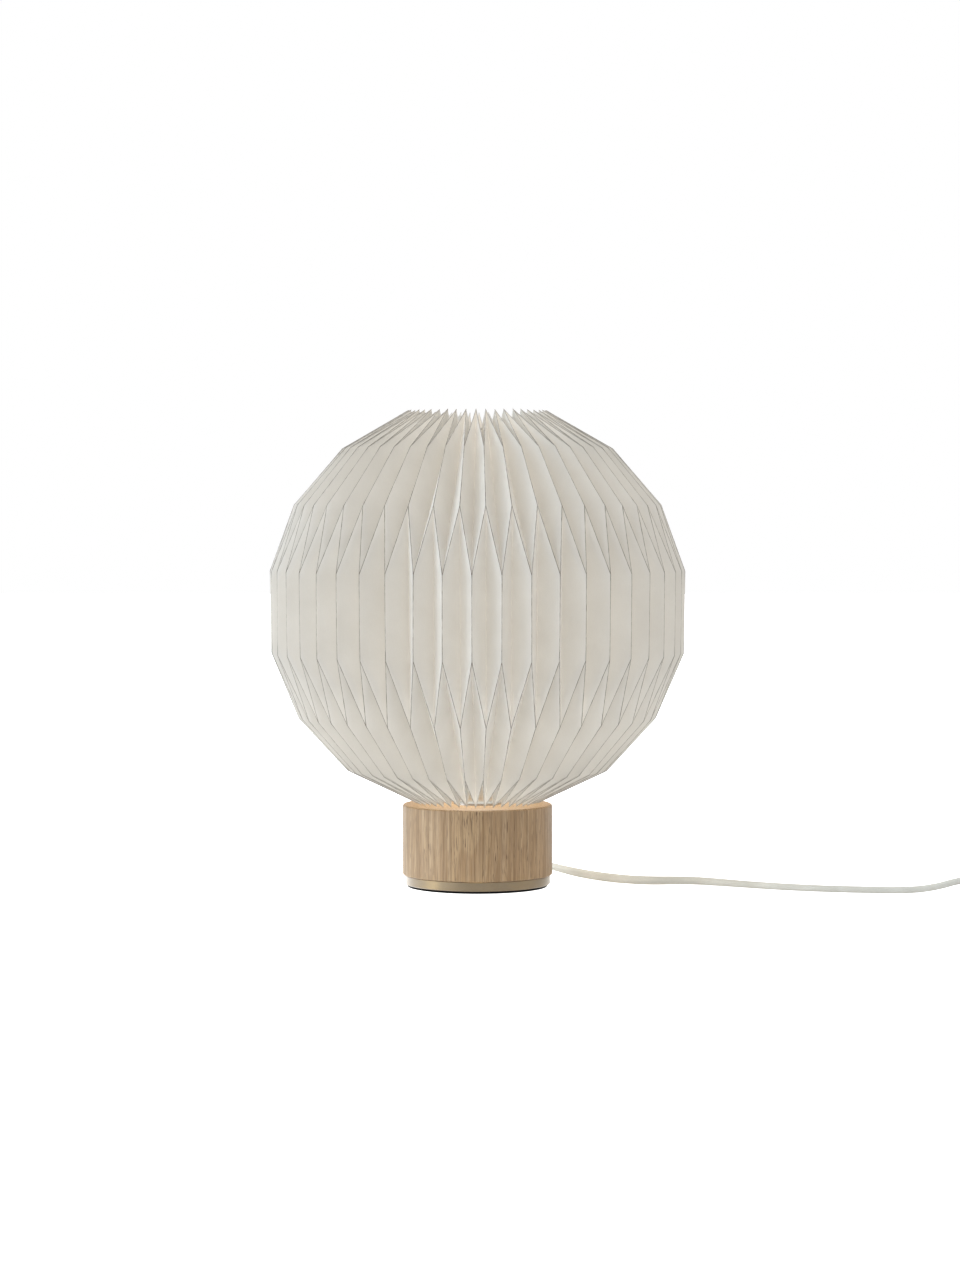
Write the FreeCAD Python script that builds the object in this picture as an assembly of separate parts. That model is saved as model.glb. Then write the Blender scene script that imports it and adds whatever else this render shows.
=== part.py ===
import FreeCAD, Part

import math
import os

# A pleated paper table lamp: a folded paper globe that stands on a turned oak block, with a lampholder
# and a globe bulb inside, and a flat flex that carries an inline rocker switch and a two-pin plug.
# Millimetres, +Z up. The origin is under the middle of the foot, and the front of the lamp faces -Y.

Vector = FreeCAD.Vector

# ---- Driving dimensions ----
# Base, from the floor up
pad_radius = 41.6
pad_thickness = 1.5
pad_bevel = 0.25
plate_radius = 43.2
plate_thickness = 5.6
plate_bevel = 0.4
oak_radius = 44.4
oak_height = 41.7
oak_top_chamfer = 0.8
oak_bottom_chamfer = 0.5
pocket_radius = 27.0
pocket_depth = 28.0
base_screw_count = 3
base_screw_start = 30.0
base_screw_radius = 2.0
base_screw_head_radius = 4.0
base_screw_head_height = 2.4
base_screw_length = 17.0
base_screw_slot_width = 1.0
base_screw_slot_reach = 2.2
base_screw_slot_depth = 1.3
thread_clearance = 0.05
slip_clearance = 0.1
seat_clearance = 0.3

# Shade: pleated sheets glued into one, whose mountain folds change sides at three rows of zigzag folds
pleat_count = 46
sheet_count = 4
paper_thickness = 0.3
paper_offset_limit = 0.8
shade_radius = 123.0
shade_height = 232.0
shade_hem_radius = 36.9
shade_lift = 0.9
fold_turn = math.radians(-1.358)
thread_radius = 0.4
top_thread_ring_radius = 47.0
bottom_thread_ring_radius = 45.0

# Nipple and lampholder
nipple_radius = 5.0
nipple_bore_radius = 3.6
nipple_chamfer = 0.5
nut_width = 14.0
nut_height = 4.0
nut_chamfer = 0.8
washer_radius = 10.0
washer_thickness = 1.2
nipple_below_nut = 2.0
holder_cap_height = 20.0
holder_cap_floor = 9.0
holder_cap_shoulder = 5.0
holder_wall = 1.8
holder_ledge = 1.3
holder_flange_width = 2.8
holder_flange_thickness = 3.0
holder_flange_bevel = 0.5
holder_neck_length = 6.0
holder_thread_depth = 0.3
holder_body_height = 33.0
holder_mouth_bevel = 0.8
holder_bore_gap = 1.05
block_height = 11.0
block_rise = 7.0
terminal_offset = 6.0
terminal_well_depth = 5.2
terminal_screw_radius = 1.5
terminal_screw_height = 3.0
contact_rise = 3.2
contact_leaf = 0.5
contact_width = 4.0
screw_shell_wall = 0.4
screw_shell_gap = 0.15
screw_shell_height = 20.0
screw_shell_flange = 0.6
shade_ring_radius = 20.0
shade_ring_height = 8.0
shade_ring_notch_radius = 1.2
shade_ring_notch_count = 24

# Wire carrier that holds the shade down on the oak
carrier_wire_radius = 1.25
carrier_ring_radius = 39.5
carrier_arm_count = 3
carrier_hub_thickness = 1.2
carrier_gap = 0.3

# Bulb: a small globe lamp with a 14 mm screw cap
bulb_globe_radius = 22.5
bulb_length = 78.0
bulb_wall = 1.0
bulb_cap_radius = 6.95
bulb_cap_height = 16.0
bulb_collar_radius = 14.0
bulb_collar_height = 14.0
bulb_collar_rim = 3.0
bulb_cap_wall = 0.3
bulb_cap_lip = 1.2
bulb_cap_mouth_radius = 3.6
bulb_insulator_height = 2.6
bulb_contact_radius = 2.3
bulb_contact_height = 0.9
led_board_thickness = 1.2
led_chip_count = 8
led_chip_width = 2.8
led_chip_height = 0.7

# Flex, strain relief and clamp
cord_radius = 2.6
cord_exit_turn = 13.0
cord_hole_height = 7.0
cord_hole_radius = 4.5
spot_face_depth = 0.4
relief_length = 21.0
relief_root_radius = 4.6
relief_tip_radius = 3.4
relief_flange_radius = 6.2
relief_flange_thickness = 1.6
relief_flange_bevel = 0.3
relief_sleeve_setback = 2.0
relief_groove_count = 5
relief_groove_width = 1.4
relief_groove_floor = 0.1
clamp_width = 22.0
clamp_length = 7.0
clamp_cap_height = 4.5
clamp_split = 0.6
clamp_rounding = 1.0
clamp_wall_gap = 3.0
clamp_screw_radius = 1.5
clamp_screw_spacing = 14.0
clamp_screw_floor = 1.5
clamp_screw_end_gap = 0.5
clamp_head_radius = 2.8
clamp_head_height = 2.0
clamp_slot_width = 0.8
clamp_slot_depth = 1.0
conductor_radius = 1.1
conductor_gap = 0.2
conductor_rise = 3.4
sheath_past_nipple = 1.5
inner_bend_radius = 14.0

# Coil that puts the spare flex away
coil_inner_radius = 22.0
coil_turn_gap = 0.6
coil_layer_gap = 0.5
coil_layer_turns = 3
coil_lift = 0.6
coil_centre = (355.0, 86.0)
coil_drop_length = 22.0
coil_end_length = 6.0
tie_width = 5.0
tie_thickness = 0.45
tie_clearance = 0.15
tie_angle = math.radians(130)

# Inline switch
switch_centre = (324.0, -45.0)
switch_length = 62.0
switch_width = 24.0
switch_height = 18.0
switch_split = 9.0
switch_wall = 1.8
switch_end_flat = 4.0
switch_low_rounding = 2.0
switch_high_rounding = 3.0
switch_post_radius = 3.2
switch_post_setback = 12.0
switch_post_bite = 0.4
switch_screw_radius = 1.3
switch_screw_head_radius = 2.4
switch_screw_head_top = 2.0
switch_screw_head_bottom = 0.5
switch_slot_width = 0.7
switch_slot_depth = 0.6
switch_clamp_setback = 5.0
switch_clamp_width = 9.0
switch_clamp_thickness = 3.6
switch_clamp_height = 4.0
switch_clamp_gap = 0.6
switch_rest_thickness = 4.0
switch_rest_drop = 1.5
switch_flex_stub = 9.0
switch_wire_radius = 1.0
switch_wire_offset = 1.25
switch_wire_sweep = 4.2
switch_wire_rise = 3.7
switch_contact_place = 12.0
switch_terminal_length = 5.2
switch_terminal_width = 4.7
switch_terminal_edge = 1.1
switch_terminal_rise = 1.6
rocker_radius = 8.0
rocker_crown = 5.8
rocker_dish = 1.2
rocker_depth = 3.0
rocker_width = 9.4
rocker_travel = math.radians(14)
rocker_gap = 0.35
rocker_axle_radius = 1.0
rocker_axle_height = 12.8
rocker_running_clearance = 0.05
boss_width = 6.4
boss_below_axle = 3.0
boss_wall = 1.2
bridge_thickness = 0.6
bridge_width = 3.0
bridge_gap = 0.6

# Two-pin plug
plug_length = 36.0
plug_width = 35.3
plug_face_width = 26.0
plug_thickness = 13.7
plug_neck_width = 12.0
plug_relief_length = 24.0
plug_relief_setback = 1.2
plug_groove_count = 6
plug_groove_width = 1.5
plug_groove_start = 3.0
plug_cord_depth = 6.0
plug_corner = 2.2
plug_rounding = 2.0
pin_radius = 2.0
pin_length = 19.0
pin_root_radius = 1.5
pin_tip_rounding = 1.2
pin_buried = 8.0
pin_spacing = 18.6
pin_sleeve_length = 10.0
pin_sleeve_radius = 1.9
pin_sleeve_buried = 2.0

# ---- Sizes that follow from what fits in them ----
screw_shell_radius = bulb_cap_radius + screw_shell_gap + screw_shell_wall
holder_bore_radius = bulb_cap_radius + bulb_cap_lip + holder_bore_gap
block_radius = holder_bore_radius + holder_ledge
holder_cap_inner_radius = block_radius + slip_clearance + holder_wall
holder_cap_radius = holder_cap_inner_radius + holder_wall
holder_thread_radius = holder_cap_radius - holder_thread_depth
holder_flange_radius = holder_cap_radius + holder_flange_width
coil_pitch = 2 * cord_radius + coil_turn_gap
coil_layer_pitch = 2 * cord_radius + coil_layer_gap

# The flex from the strain relief to the switch, point by point: round behind the base, then along the floor
relief_tip = oak_radius + relief_flange_thickness + relief_length
cord_height = pad_thickness + plate_thickness + cord_hole_height
exit_angle = math.radians(90 + cord_exit_turn)
exit_x = math.cos(exit_angle)
exit_y = math.sin(exit_angle)
lead_route = [
    (relief_tip * exit_x, relief_tip * exit_y, cord_height),
    ((relief_tip + 12.5) * exit_x, (relief_tip + 12.5) * exit_y, cord_height),
    (-14.4, 91.4, 12.4),
    (-4.4, 102.0, 9.8),
    (9.4, 106.6, 7.2),
    (23.9, 104.2, 5.0),
    (35.5, 95.3, 3.6),
    (46.4, 75.9, 2.8),
    (56.0, 54.2, cord_radius),
    (67.4, 33.1, cord_radius),
    (80.4, 16.6, cord_radius),
    (92.6, 7.0, cord_radius),
    (106.0, 3.2, cord_radius),
    (119.2, 5.1, cord_radius),
    (131.4, 2.4, cord_radius),
    (143.6, -5.4, cord_radius),
    (158.0, -15.6, cord_radius),
    (177.0, -27.0, cord_radius),
    (200.0, -36.6, cord_radius),
    (226.0, -42.6, cord_radius),
    (252.0, -45.2, cord_radius),
    (267.0, -45.4, 4.7),
    (281.5, switch_centre[1], switch_split),
    (switch_centre[0] - switch_length / 2, switch_centre[1], switch_split),
]
coil_start = (
    coil_centre[0] + coil_inner_radius + coil_pitch * coil_layer_turns,
    coil_centre[1],
    cord_radius + coil_lift,
)
link_route = [
    (switch_centre[0] + switch_length / 2, switch_centre[1], switch_split),
    (switch_centre[0] + switch_length / 2 + 12.0, switch_centre[1], switch_split),
    (379.2, -40.2, 7.4),
    (388.4, -31.0, 5.4),
    (393.4, -18.6, 3.9),
    (395.2, 0.0, 3.1),
    (395.0, 29.0, 2.9),
    (coil_start[0], coil_centre[1] - 27.0, coil_start[2]),
    (coil_start[0], coil_centre[1], coil_start[2]),
]

# ---- Levels that follow from them ----
plate_bottom = pad_thickness
oak_bottom = plate_bottom + plate_thickness
oak_top = oak_bottom + oak_height
pocket_top = oak_bottom + pocket_depth
seat_top = oak_top + washer_thickness
cap_top = seat_top + holder_cap_height
flange_bottom = cap_top
flange_top = flange_bottom + holder_flange_thickness
skirt_top = flange_top + holder_body_height
block_top = flange_top + block_rise
block_bottom = block_top - block_height
hub_top = flange_top + carrier_hub_thickness
shell_top = block_top + screw_shell_height
bulb_bottom = block_top + contact_rise
bulb_cap_bottom = bulb_bottom + bulb_insulator_height
bulb_cap_top = bulb_cap_bottom + bulb_cap_height
globe_centre = bulb_bottom + bulb_length - bulb_globe_radius
nipple_bottom = pocket_top - washer_thickness - nut_height - nipple_below_nut
nipple_top = seat_top + holder_cap_floor
sheath_top = nipple_top + sheath_past_nipple
base_screw_circle = (pocket_radius + oak_radius) / 2
relief_seat = math.sqrt(oak_radius**2 - relief_flange_radius**2) - spot_face_depth
clamp_y = pocket_radius - clamp_length / 2 - clamp_wall_gap

UP = Vector(0, 0, 1)
BACK = Vector(0, 1, 0)
RIGHT = Vector(1, 0, 0)


# ---- Plain solids ----
def cylinder(radius, bottom, top, x=0.0, y=0.0):
    return Part.makeCylinder(radius, top - bottom, Vector(x, y, bottom), UP)


def tube(outer, inner, bottom, top, x=0.0, y=0.0):
    return cylinder(outer, bottom, top, x, y).cut(cylinder(inner, bottom - 1, top + 1, x, y))


def cone(radius_low, radius_high, bottom, top, x=0.0, y=0.0):
    return Part.makeCone(radius_low, radius_high, top - bottom, Vector(x, y, bottom), UP)


def box(x0, x1, y0, y1, z0, z1):
    return Part.makeBox(x1 - x0, y1 - y0, z1 - z0, Vector(x0, y0, z0))


def turned(outline):
    """A solid of revolution about Z from (radius, height) points."""
    points = [Vector(radius, 0, height) for radius, height in outline]
    face = Part.Face(Part.makePolygon(points + points[:1]))
    return face.revolve(Vector(0, 0, 0), UP, 360)


def chamfered_disc(radius, bottom, top, low_chamfer, high_chamfer):
    return turned(
        [
            (0, bottom),
            (radius - low_chamfer, bottom),
            (radius, bottom + low_chamfer),
            (radius, top - high_chamfer),
            (radius - high_chamfer, top),
            (0, top),
        ]
    )


def on_y_axis(solid, y, z):
    """Lays a solid that was made about Z along +Y, from the point (0, y, z)."""
    laid = solid.copy()
    laid.rotate(Vector(0, 0, 0), RIGHT, -90)
    laid.translate(Vector(0, y, z))
    return laid


def around(solid, count, start=0.0):
    """Copies of a solid evenly round the Z axis."""
    copies = []
    for index in range(count):
        turned_copy = solid.copy()
        turned_copy.rotate(Vector(0, 0, 0), UP, start + index * 360.0 / count)
        copies.append(turned_copy)
    return copies


def save(name, *solids):
    shape = solids[0] if len(solids) == 1 else Part.makeCompound(list(solids))
    shape.exportStep(f"parts/{name}.step")
    print(f"{name}: {len(shape.Solids)} solid, {shape.Volume:.1f} mm3, valid {shape.isValid()}")


# ---- Bent tubes ----
def arc_between(start, corner, end):
    """The arc that touches start-corner at start and corner-end at end, both as far from the corner."""
    middle = (start + end) / 2
    half_chord = (end - start).Length / 2
    height = (corner - middle).Length
    bulge = half_chord * math.tan(math.atan2(height, half_chord) / 2)
    crest = middle + (corner - middle).normalize() * bulge
    return Part.Arc(start, crest, end).toShape()


def bent_path(name, points):
    """Straight runs joined by tangent arcs, as large as the two runs at each point allow."""
    corners = [Vector(*point) for point in points]
    edges = []
    radii = []
    at = corners[0]
    for before, corner, after in zip(corners, corners[1:], corners[2:]):
        run_in = corner - before
        run_out = after - corner
        reach = 0.45 * min(run_in.Length, run_out.Length)
        turn = run_in.getAngle(run_out)
        radii.append(reach / math.tan(turn / 2))
        start = corner - run_in.normalize() * reach
        end = corner + run_out.normalize() * reach
        edges.append(Part.LineSegment(at, start).toShape())
        edges.append(arc_between(start, corner, end))
        at = end
    edges.append(Part.LineSegment(at, corners[-1]).toShape())
    print(f"{name}: bend radii {' '.join(f'{radius:.0f}' for radius in radii)} mm")
    return Part.Wire(edges)


def swept_tube(name, path, radius):
    """A round tube along a path, with its volume set beside section times length."""
    first = path.OrderedEdges[0]
    direction = first.tangentAt(first.FirstParameter)
    ring = Part.Wire(Part.Circle(first.valueAt(first.FirstParameter), direction, radius).toShape())
    solid = path.makePipeShell([ring], True)
    expected = math.pi * radius**2 * path.Length
    print(f"{name}: length {path.Length:.1f} mm, volume {solid.Volume / expected:.4f} of section x length")
    return solid


# ---- Base ----
def at_exit(solid):
    """Turns a solid that was made along +Y to the side of the base where the flex leaves."""
    turned_copy = solid.copy()
    turned_copy.rotate(Vector(0, 0, 0), UP, cord_exit_turn)
    return turned_copy


def base_screw(x):
    """A countersunk screw that points up from a head flush with the plate's underside."""
    radius = base_screw_radius
    head_top = plate_bottom + base_screw_head_height
    head = cone(base_screw_head_radius, radius, plate_bottom, head_top, x)
    shank_top = plate_bottom + base_screw_length - radius
    shank = cylinder(radius, head_top - 0.1, shank_top, x)
    tip = cone(radius, 0.3, shank_top, shank_top + radius, x)
    reach = base_screw_slot_reach
    half = base_screw_slot_width / 2
    slot_top = plate_bottom + base_screw_slot_depth
    slot = box(x - reach, x + reach, -half, half, plate_bottom - 1, slot_top)
    cross = box(x - half, x + half, -reach, reach, plate_bottom - 1, slot_top)
    return head.fuse([shank, tip]).cut(slot.fuse(cross)).removeSplitter()


def make_base():
    """The foot, the metal disc screwed up to the oak, and the oak with its pocket and flex hole."""
    save("foot_pad", chamfered_disc(pad_radius, 0, pad_thickness, pad_bevel, 0.0))

    plate = chamfered_disc(plate_radius, plate_bottom, oak_bottom, plate_bevel, plate_bevel)
    seat = cylinder(base_screw_radius + slip_clearance, plate_bottom - 1, oak_bottom + 1, base_screw_circle)
    sink = cone(
        base_screw_head_radius + slip_clearance,
        base_screw_radius + slip_clearance,
        plate_bottom,
        plate_bottom + base_screw_head_height,
        base_screw_circle,
    )
    plate = plate.cut(around(seat, base_screw_count, base_screw_start))
    plate = plate.cut(around(sink, base_screw_count, base_screw_start))
    hole_radius = clamp_screw_radius + thread_clearance
    for side in (-1, 1):
        x = side * clamp_screw_spacing / 2
        clamp_hole = cylinder(hole_radius, plate_bottom + clamp_screw_floor, oak_bottom + 1, x, clamp_y)
        plate = plate.cut(at_exit(clamp_hole))
    save("base_plate", plate)

    save("base_plate_screws", *around(base_screw(base_screw_circle), base_screw_count, base_screw_start))

    oak = chamfered_disc(oak_radius, oak_bottom, oak_top, oak_bottom_chamfer, oak_top_chamfer)
    oak = oak.cut(cylinder(pocket_radius, oak_bottom - 1, pocket_top))
    oak = oak.cut(cylinder(nipple_radius + slip_clearance, pocket_top - 1, oak_top + 1))
    pilot = cylinder(
        base_screw_radius + thread_clearance,
        oak_bottom - 1,
        plate_bottom + base_screw_length + 1,
        base_screw_circle,
    )
    oak = oak.cut(around(pilot, base_screw_count, base_screw_start))
    cord_hole = cylinder(cord_hole_radius, 0, oak_radius + 5)
    oak = oak.cut(at_exit(on_y_axis(cord_hole, 0, cord_height)))
    spot_face = cylinder(relief_flange_radius + seat_clearance, 0, 10)
    oak = oak.cut(at_exit(on_y_axis(spot_face, relief_seat, cord_height)))
    save("oak_base", oak)


# ---- Flex inside the base ----
def make_relief():
    """The moulded strain relief: a sleeve in the oak, a flange in its spot face and a ribbed taper."""
    sleeve_start = pocket_radius + relief_sleeve_setback
    taper_start = relief_seat + relief_flange_thickness
    profile = turned(
        [
            (0, sleeve_start),
            (cord_hole_radius - thread_clearance, sleeve_start),
            (cord_hole_radius - thread_clearance, relief_seat),
            (relief_flange_radius, relief_seat),
            (relief_flange_radius, taper_start - relief_flange_bevel),
            (relief_flange_radius - relief_flange_bevel, taper_start),
            (relief_root_radius, taper_start),
            (relief_tip_radius, relief_tip),
            (0, relief_tip),
        ]
    )
    grooves = []
    floor = relief_tip_radius - relief_groove_floor
    for index in range(relief_groove_count):
        y = taper_start + (index + 1.2) * (relief_tip - taper_start) / (relief_groove_count + 1.6)
        grooves.append(tube(relief_root_radius + 1, floor, y, y + relief_groove_width))
    relief = profile.cut(grooves).cut(cylinder(cord_radius + thread_clearance, 0, relief_tip + 1))
    save("cord_strain_relief", at_exit(on_y_axis(relief, 0, cord_height)))


def make_clamp():
    """Two saddles that grip the flex, screwed down to the steel plate."""
    low = clamp_y - clamp_length / 2
    high = clamp_y + clamp_length / 2
    half = clamp_width / 2
    bore = on_y_axis(cylinder(cord_radius + thread_clearance, 0, clamp_length + 10), low - 5, cord_height)
    lower = box(-half, half, low, high, oak_bottom, cord_height - clamp_split / 2).cut(bore)
    cap_top_z = cord_height + clamp_cap_height
    upper = box(-half, half, low, high, cord_height + clamp_split / 2, cap_top_z).cut(bore)
    upper = upper.makeFillet(clamp_rounding, [e for e in upper.Edges if on_top_side(e, cap_top_z, half)])
    screws = []
    for side in (-1, 1):
        x = side * clamp_screw_spacing / 2
        hole = cylinder(clamp_screw_radius + thread_clearance, oak_bottom - 1, cap_top_z + 1, x, clamp_y)
        lower = lower.cut(hole)
        upper = upper.cut(hole)
        end = plate_bottom + clamp_screw_floor + clamp_screw_end_gap
        shank = cylinder(clamp_screw_radius, end, cap_top_z, x, clamp_y)
        head_top = cap_top_z + clamp_head_height
        head = cylinder(clamp_head_radius, cap_top_z, head_top, x, clamp_y)
        slot_half = clamp_slot_width / 2
        slot_floor = head_top - clamp_slot_depth
        slot = box(x - 3, x + 3, clamp_y - slot_half, clamp_y + slot_half, slot_floor, head_top + 1)
        screws.append(at_exit(shank.fuse(head).cut(slot)))
    save("cord_clamp_lower", at_exit(lower))
    save("cord_clamp_upper", at_exit(upper))
    save("cord_clamp_screws", *screws)


def on_top_side(edge, height, half_width):
    box_of_edge = edge.BoundBox
    flat = abs(box_of_edge.ZMin - height) < 0.01 and abs(box_of_edge.ZMax - height) < 0.01
    at_side = abs(abs(box_of_edge.XMin) - half_width) < 0.01 and box_of_edge.XLength < 0.01
    return flat and at_side


def make_inner_flex():
    """The sheathed flex from the strain relief's tip through the clamp and up the nipple."""
    bend = inner_bend_radius
    mouth = Vector(0, relief_tip, cord_height)
    bend_start = Vector(0, bend, cord_height)
    bend_end = Vector(0, 0, cord_height + bend)
    crest_share = 1 - math.sqrt(0.5)
    crest = Vector(0, bend * crest_share, cord_height + bend * crest_share)
    path = Part.Wire(
        [
            Part.LineSegment(mouth, bend_start).toShape(),
            Part.Arc(bend_start, crest, bend_end).toShape(),
            Part.LineSegment(bend_end, Vector(0, 0, sheath_top)).toShape(),
        ]
    )
    save("flex_in_base", at_exit(swept_tube("flex_in_base", path, cord_radius)))

    for name, side in (("live_conductor", 1), ("neutral_conductor", -1)):
        start = conductor_radius + conductor_gap / 2
        route = [
            (side * start, 0, sheath_top),
            (side * start, 0, sheath_top + conductor_rise),
            (side * terminal_offset, 0, block_bottom - 2.0),
            (side * terminal_offset, 0, block_bottom + terminal_well_depth - 0.2),
        ]
        save(name, swept_tube(name, bent_path(name, route), conductor_radius))


# ---- Nipple and lampholder ----
def hexagon_nut(width, bottom, top, bore):
    corner = width / math.sqrt(3)
    points = []
    for index in range(7):
        angle = math.radians(60 * index)
        points.append(Vector(corner * math.cos(angle), corner * math.sin(angle), bottom))
    prism = Part.Face(Part.makePolygon(points)).extrude(Vector(0, 0, top - bottom))
    rounded = prism.common(chamfered_disc(corner - 0.2, bottom, top, nut_chamfer, nut_chamfer))
    return rounded.cut(cylinder(bore, bottom - 1, top + 1))


def make_nipple():
    nipple = turned(
        [
            (nipple_bore_radius, nipple_bottom),
            (nipple_radius - nipple_chamfer, nipple_bottom),
            (nipple_radius, nipple_bottom + nipple_chamfer),
            (nipple_radius, nipple_top - nipple_chamfer),
            (nipple_radius - nipple_chamfer, nipple_top),
            (nipple_bore_radius, nipple_top),
        ]
    )
    save("threaded_nipple", nipple)
    nut_top = pocket_top - washer_thickness
    bore = nipple_radius + thread_clearance
    save("nipple_nut", hexagon_nut(nut_width, nut_top - nut_height, nut_top, bore))
    save("nipple_washer", tube(washer_radius, nipple_radius + slip_clearance, nut_top, pocket_top))
    save("seat_washer", tube(holder_cap_radius, nipple_radius + slip_clearance, oak_top, seat_top))


def make_lampholder():
    """The cap screws on the nipple, the skirt screws into the cap, and both close on the block."""
    inner = holder_cap_inner_radius
    shoulder = holder_cap_shoulder
    arc_share = 1 - math.sqrt(0.5)
    start = Vector(holder_cap_radius - shoulder, 0, seat_top)
    crest = Vector(holder_cap_radius - shoulder * arc_share, 0, seat_top + shoulder * arc_share)
    end = Vector(holder_cap_radius, 0, seat_top + shoulder)
    outline = [
        Part.LineSegment(Vector(0, 0, seat_top), start).toShape(),
        Part.Arc(start, crest, end).toShape(),
        Part.LineSegment(end, Vector(holder_cap_radius, 0, cap_top)).toShape(),
        Part.LineSegment(Vector(holder_cap_radius, 0, cap_top), Vector(0, 0, cap_top)).toShape(),
        Part.LineSegment(Vector(0, 0, cap_top), Vector(0, 0, seat_top)).toShape(),
    ]
    cap = Part.Face(Part.Wire(outline)).revolve(Vector(0, 0, 0), UP, 360)
    cap = cap.cut(cylinder(inner, nipple_top, cap_top + 1))
    cap = cap.cut(cylinder(nipple_radius + thread_clearance, seat_top - 1, nipple_top + 1))
    save("lampholder_cap", cap)

    neck_bottom = cap_top - holder_neck_length
    skirt = turned(
        [
            (block_radius + thread_clearance, neck_bottom),
            (inner - thread_clearance, neck_bottom),
            (inner - thread_clearance, cap_top),
            (holder_flange_radius - holder_flange_bevel, cap_top),
            (holder_flange_radius, cap_top + holder_flange_bevel),
            (holder_flange_radius, flange_top),
            (holder_thread_radius, flange_top),
            (holder_thread_radius, skirt_top - holder_mouth_bevel),
            (holder_thread_radius - holder_mouth_bevel, skirt_top),
            (holder_bore_radius, skirt_top),
            (holder_bore_radius, block_top),
            (block_radius + thread_clearance, block_top),
        ]
    )
    save("lampholder_skirt", skirt)

    block = cylinder(block_radius, block_bottom, block_top)
    screws = []
    well_top = block_bottom + terminal_well_depth
    screw_z = block_bottom + terminal_screw_height
    seat_x = terminal_offset + conductor_radius + slip_clearance
    shank_length = block_radius - seat_x - 0.4
    for side in (-1, 1):
        way = Vector(side, 0, 0)
        at_seat = Vector(side * seat_x, 0, screw_z)
        x = side * terminal_offset
        block = block.cut(cylinder(conductor_radius + thread_clearance, block_bottom - 1, well_top, x))
        hole = Part.makeCylinder(terminal_screw_radius + thread_clearance, 10, at_seat, way)
        block = block.cut(hole)
        screw = Part.makeCylinder(terminal_screw_radius, shank_length, at_seat, way)
        face_x = side * (seat_x + shank_length)
        slot = box(face_x - 0.6, face_x + 0.6, -2, 2, screw_z - 0.3, screw_z + 0.3)
        screws.append(screw.cut(slot))
    save("terminal_block", block)
    save("terminal_screws", *screws)

    shell_inner = screw_shell_radius - screw_shell_wall
    shell = tube(screw_shell_radius, shell_inner, block_top, shell_top)
    flange_edge = holder_bore_radius - thread_clearance
    flange = tube(flange_edge, shell_inner, block_top, block_top + screw_shell_flange)
    save("lampholder_screw_shell", shell.fuse(flange).removeSplitter())

    leaf = contact_leaf
    half = contact_width / 2
    tongue_top = bulb_bottom
    base_strip = box(-4.5, 2.5, -half, half, block_top, block_top + leaf)
    points = [
        Vector(2.5, -half, block_top),
        Vector(2.5, -half, block_top + leaf),
        Vector(-2.5, -half, tongue_top),
        Vector(-2.5, -half, tongue_top - leaf),
    ]
    ramp = Part.Face(Part.makePolygon(points + points[:1])).extrude(Vector(0, contact_width, 0))
    tongue = box(-3.5, 1.0, -half, half, tongue_top - leaf, tongue_top)
    ramp = ramp.cut(box(-10, 10, -5, 5, tongue_top, tongue_top + 5))
    save("centre_contact", base_strip.fuse([ramp, tongue]).removeSplitter())

    ring_top = hub_top + shade_ring_height
    ring = tube(shade_ring_radius, holder_thread_radius + thread_clearance, hub_top, ring_top)
    notch = cylinder(shade_ring_notch_radius, hub_top - 1, ring_top + 1, shade_ring_radius + 0.5)
    ring = ring.cut(around(notch, shade_ring_notch_count))
    save("shade_ring", ring)


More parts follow.
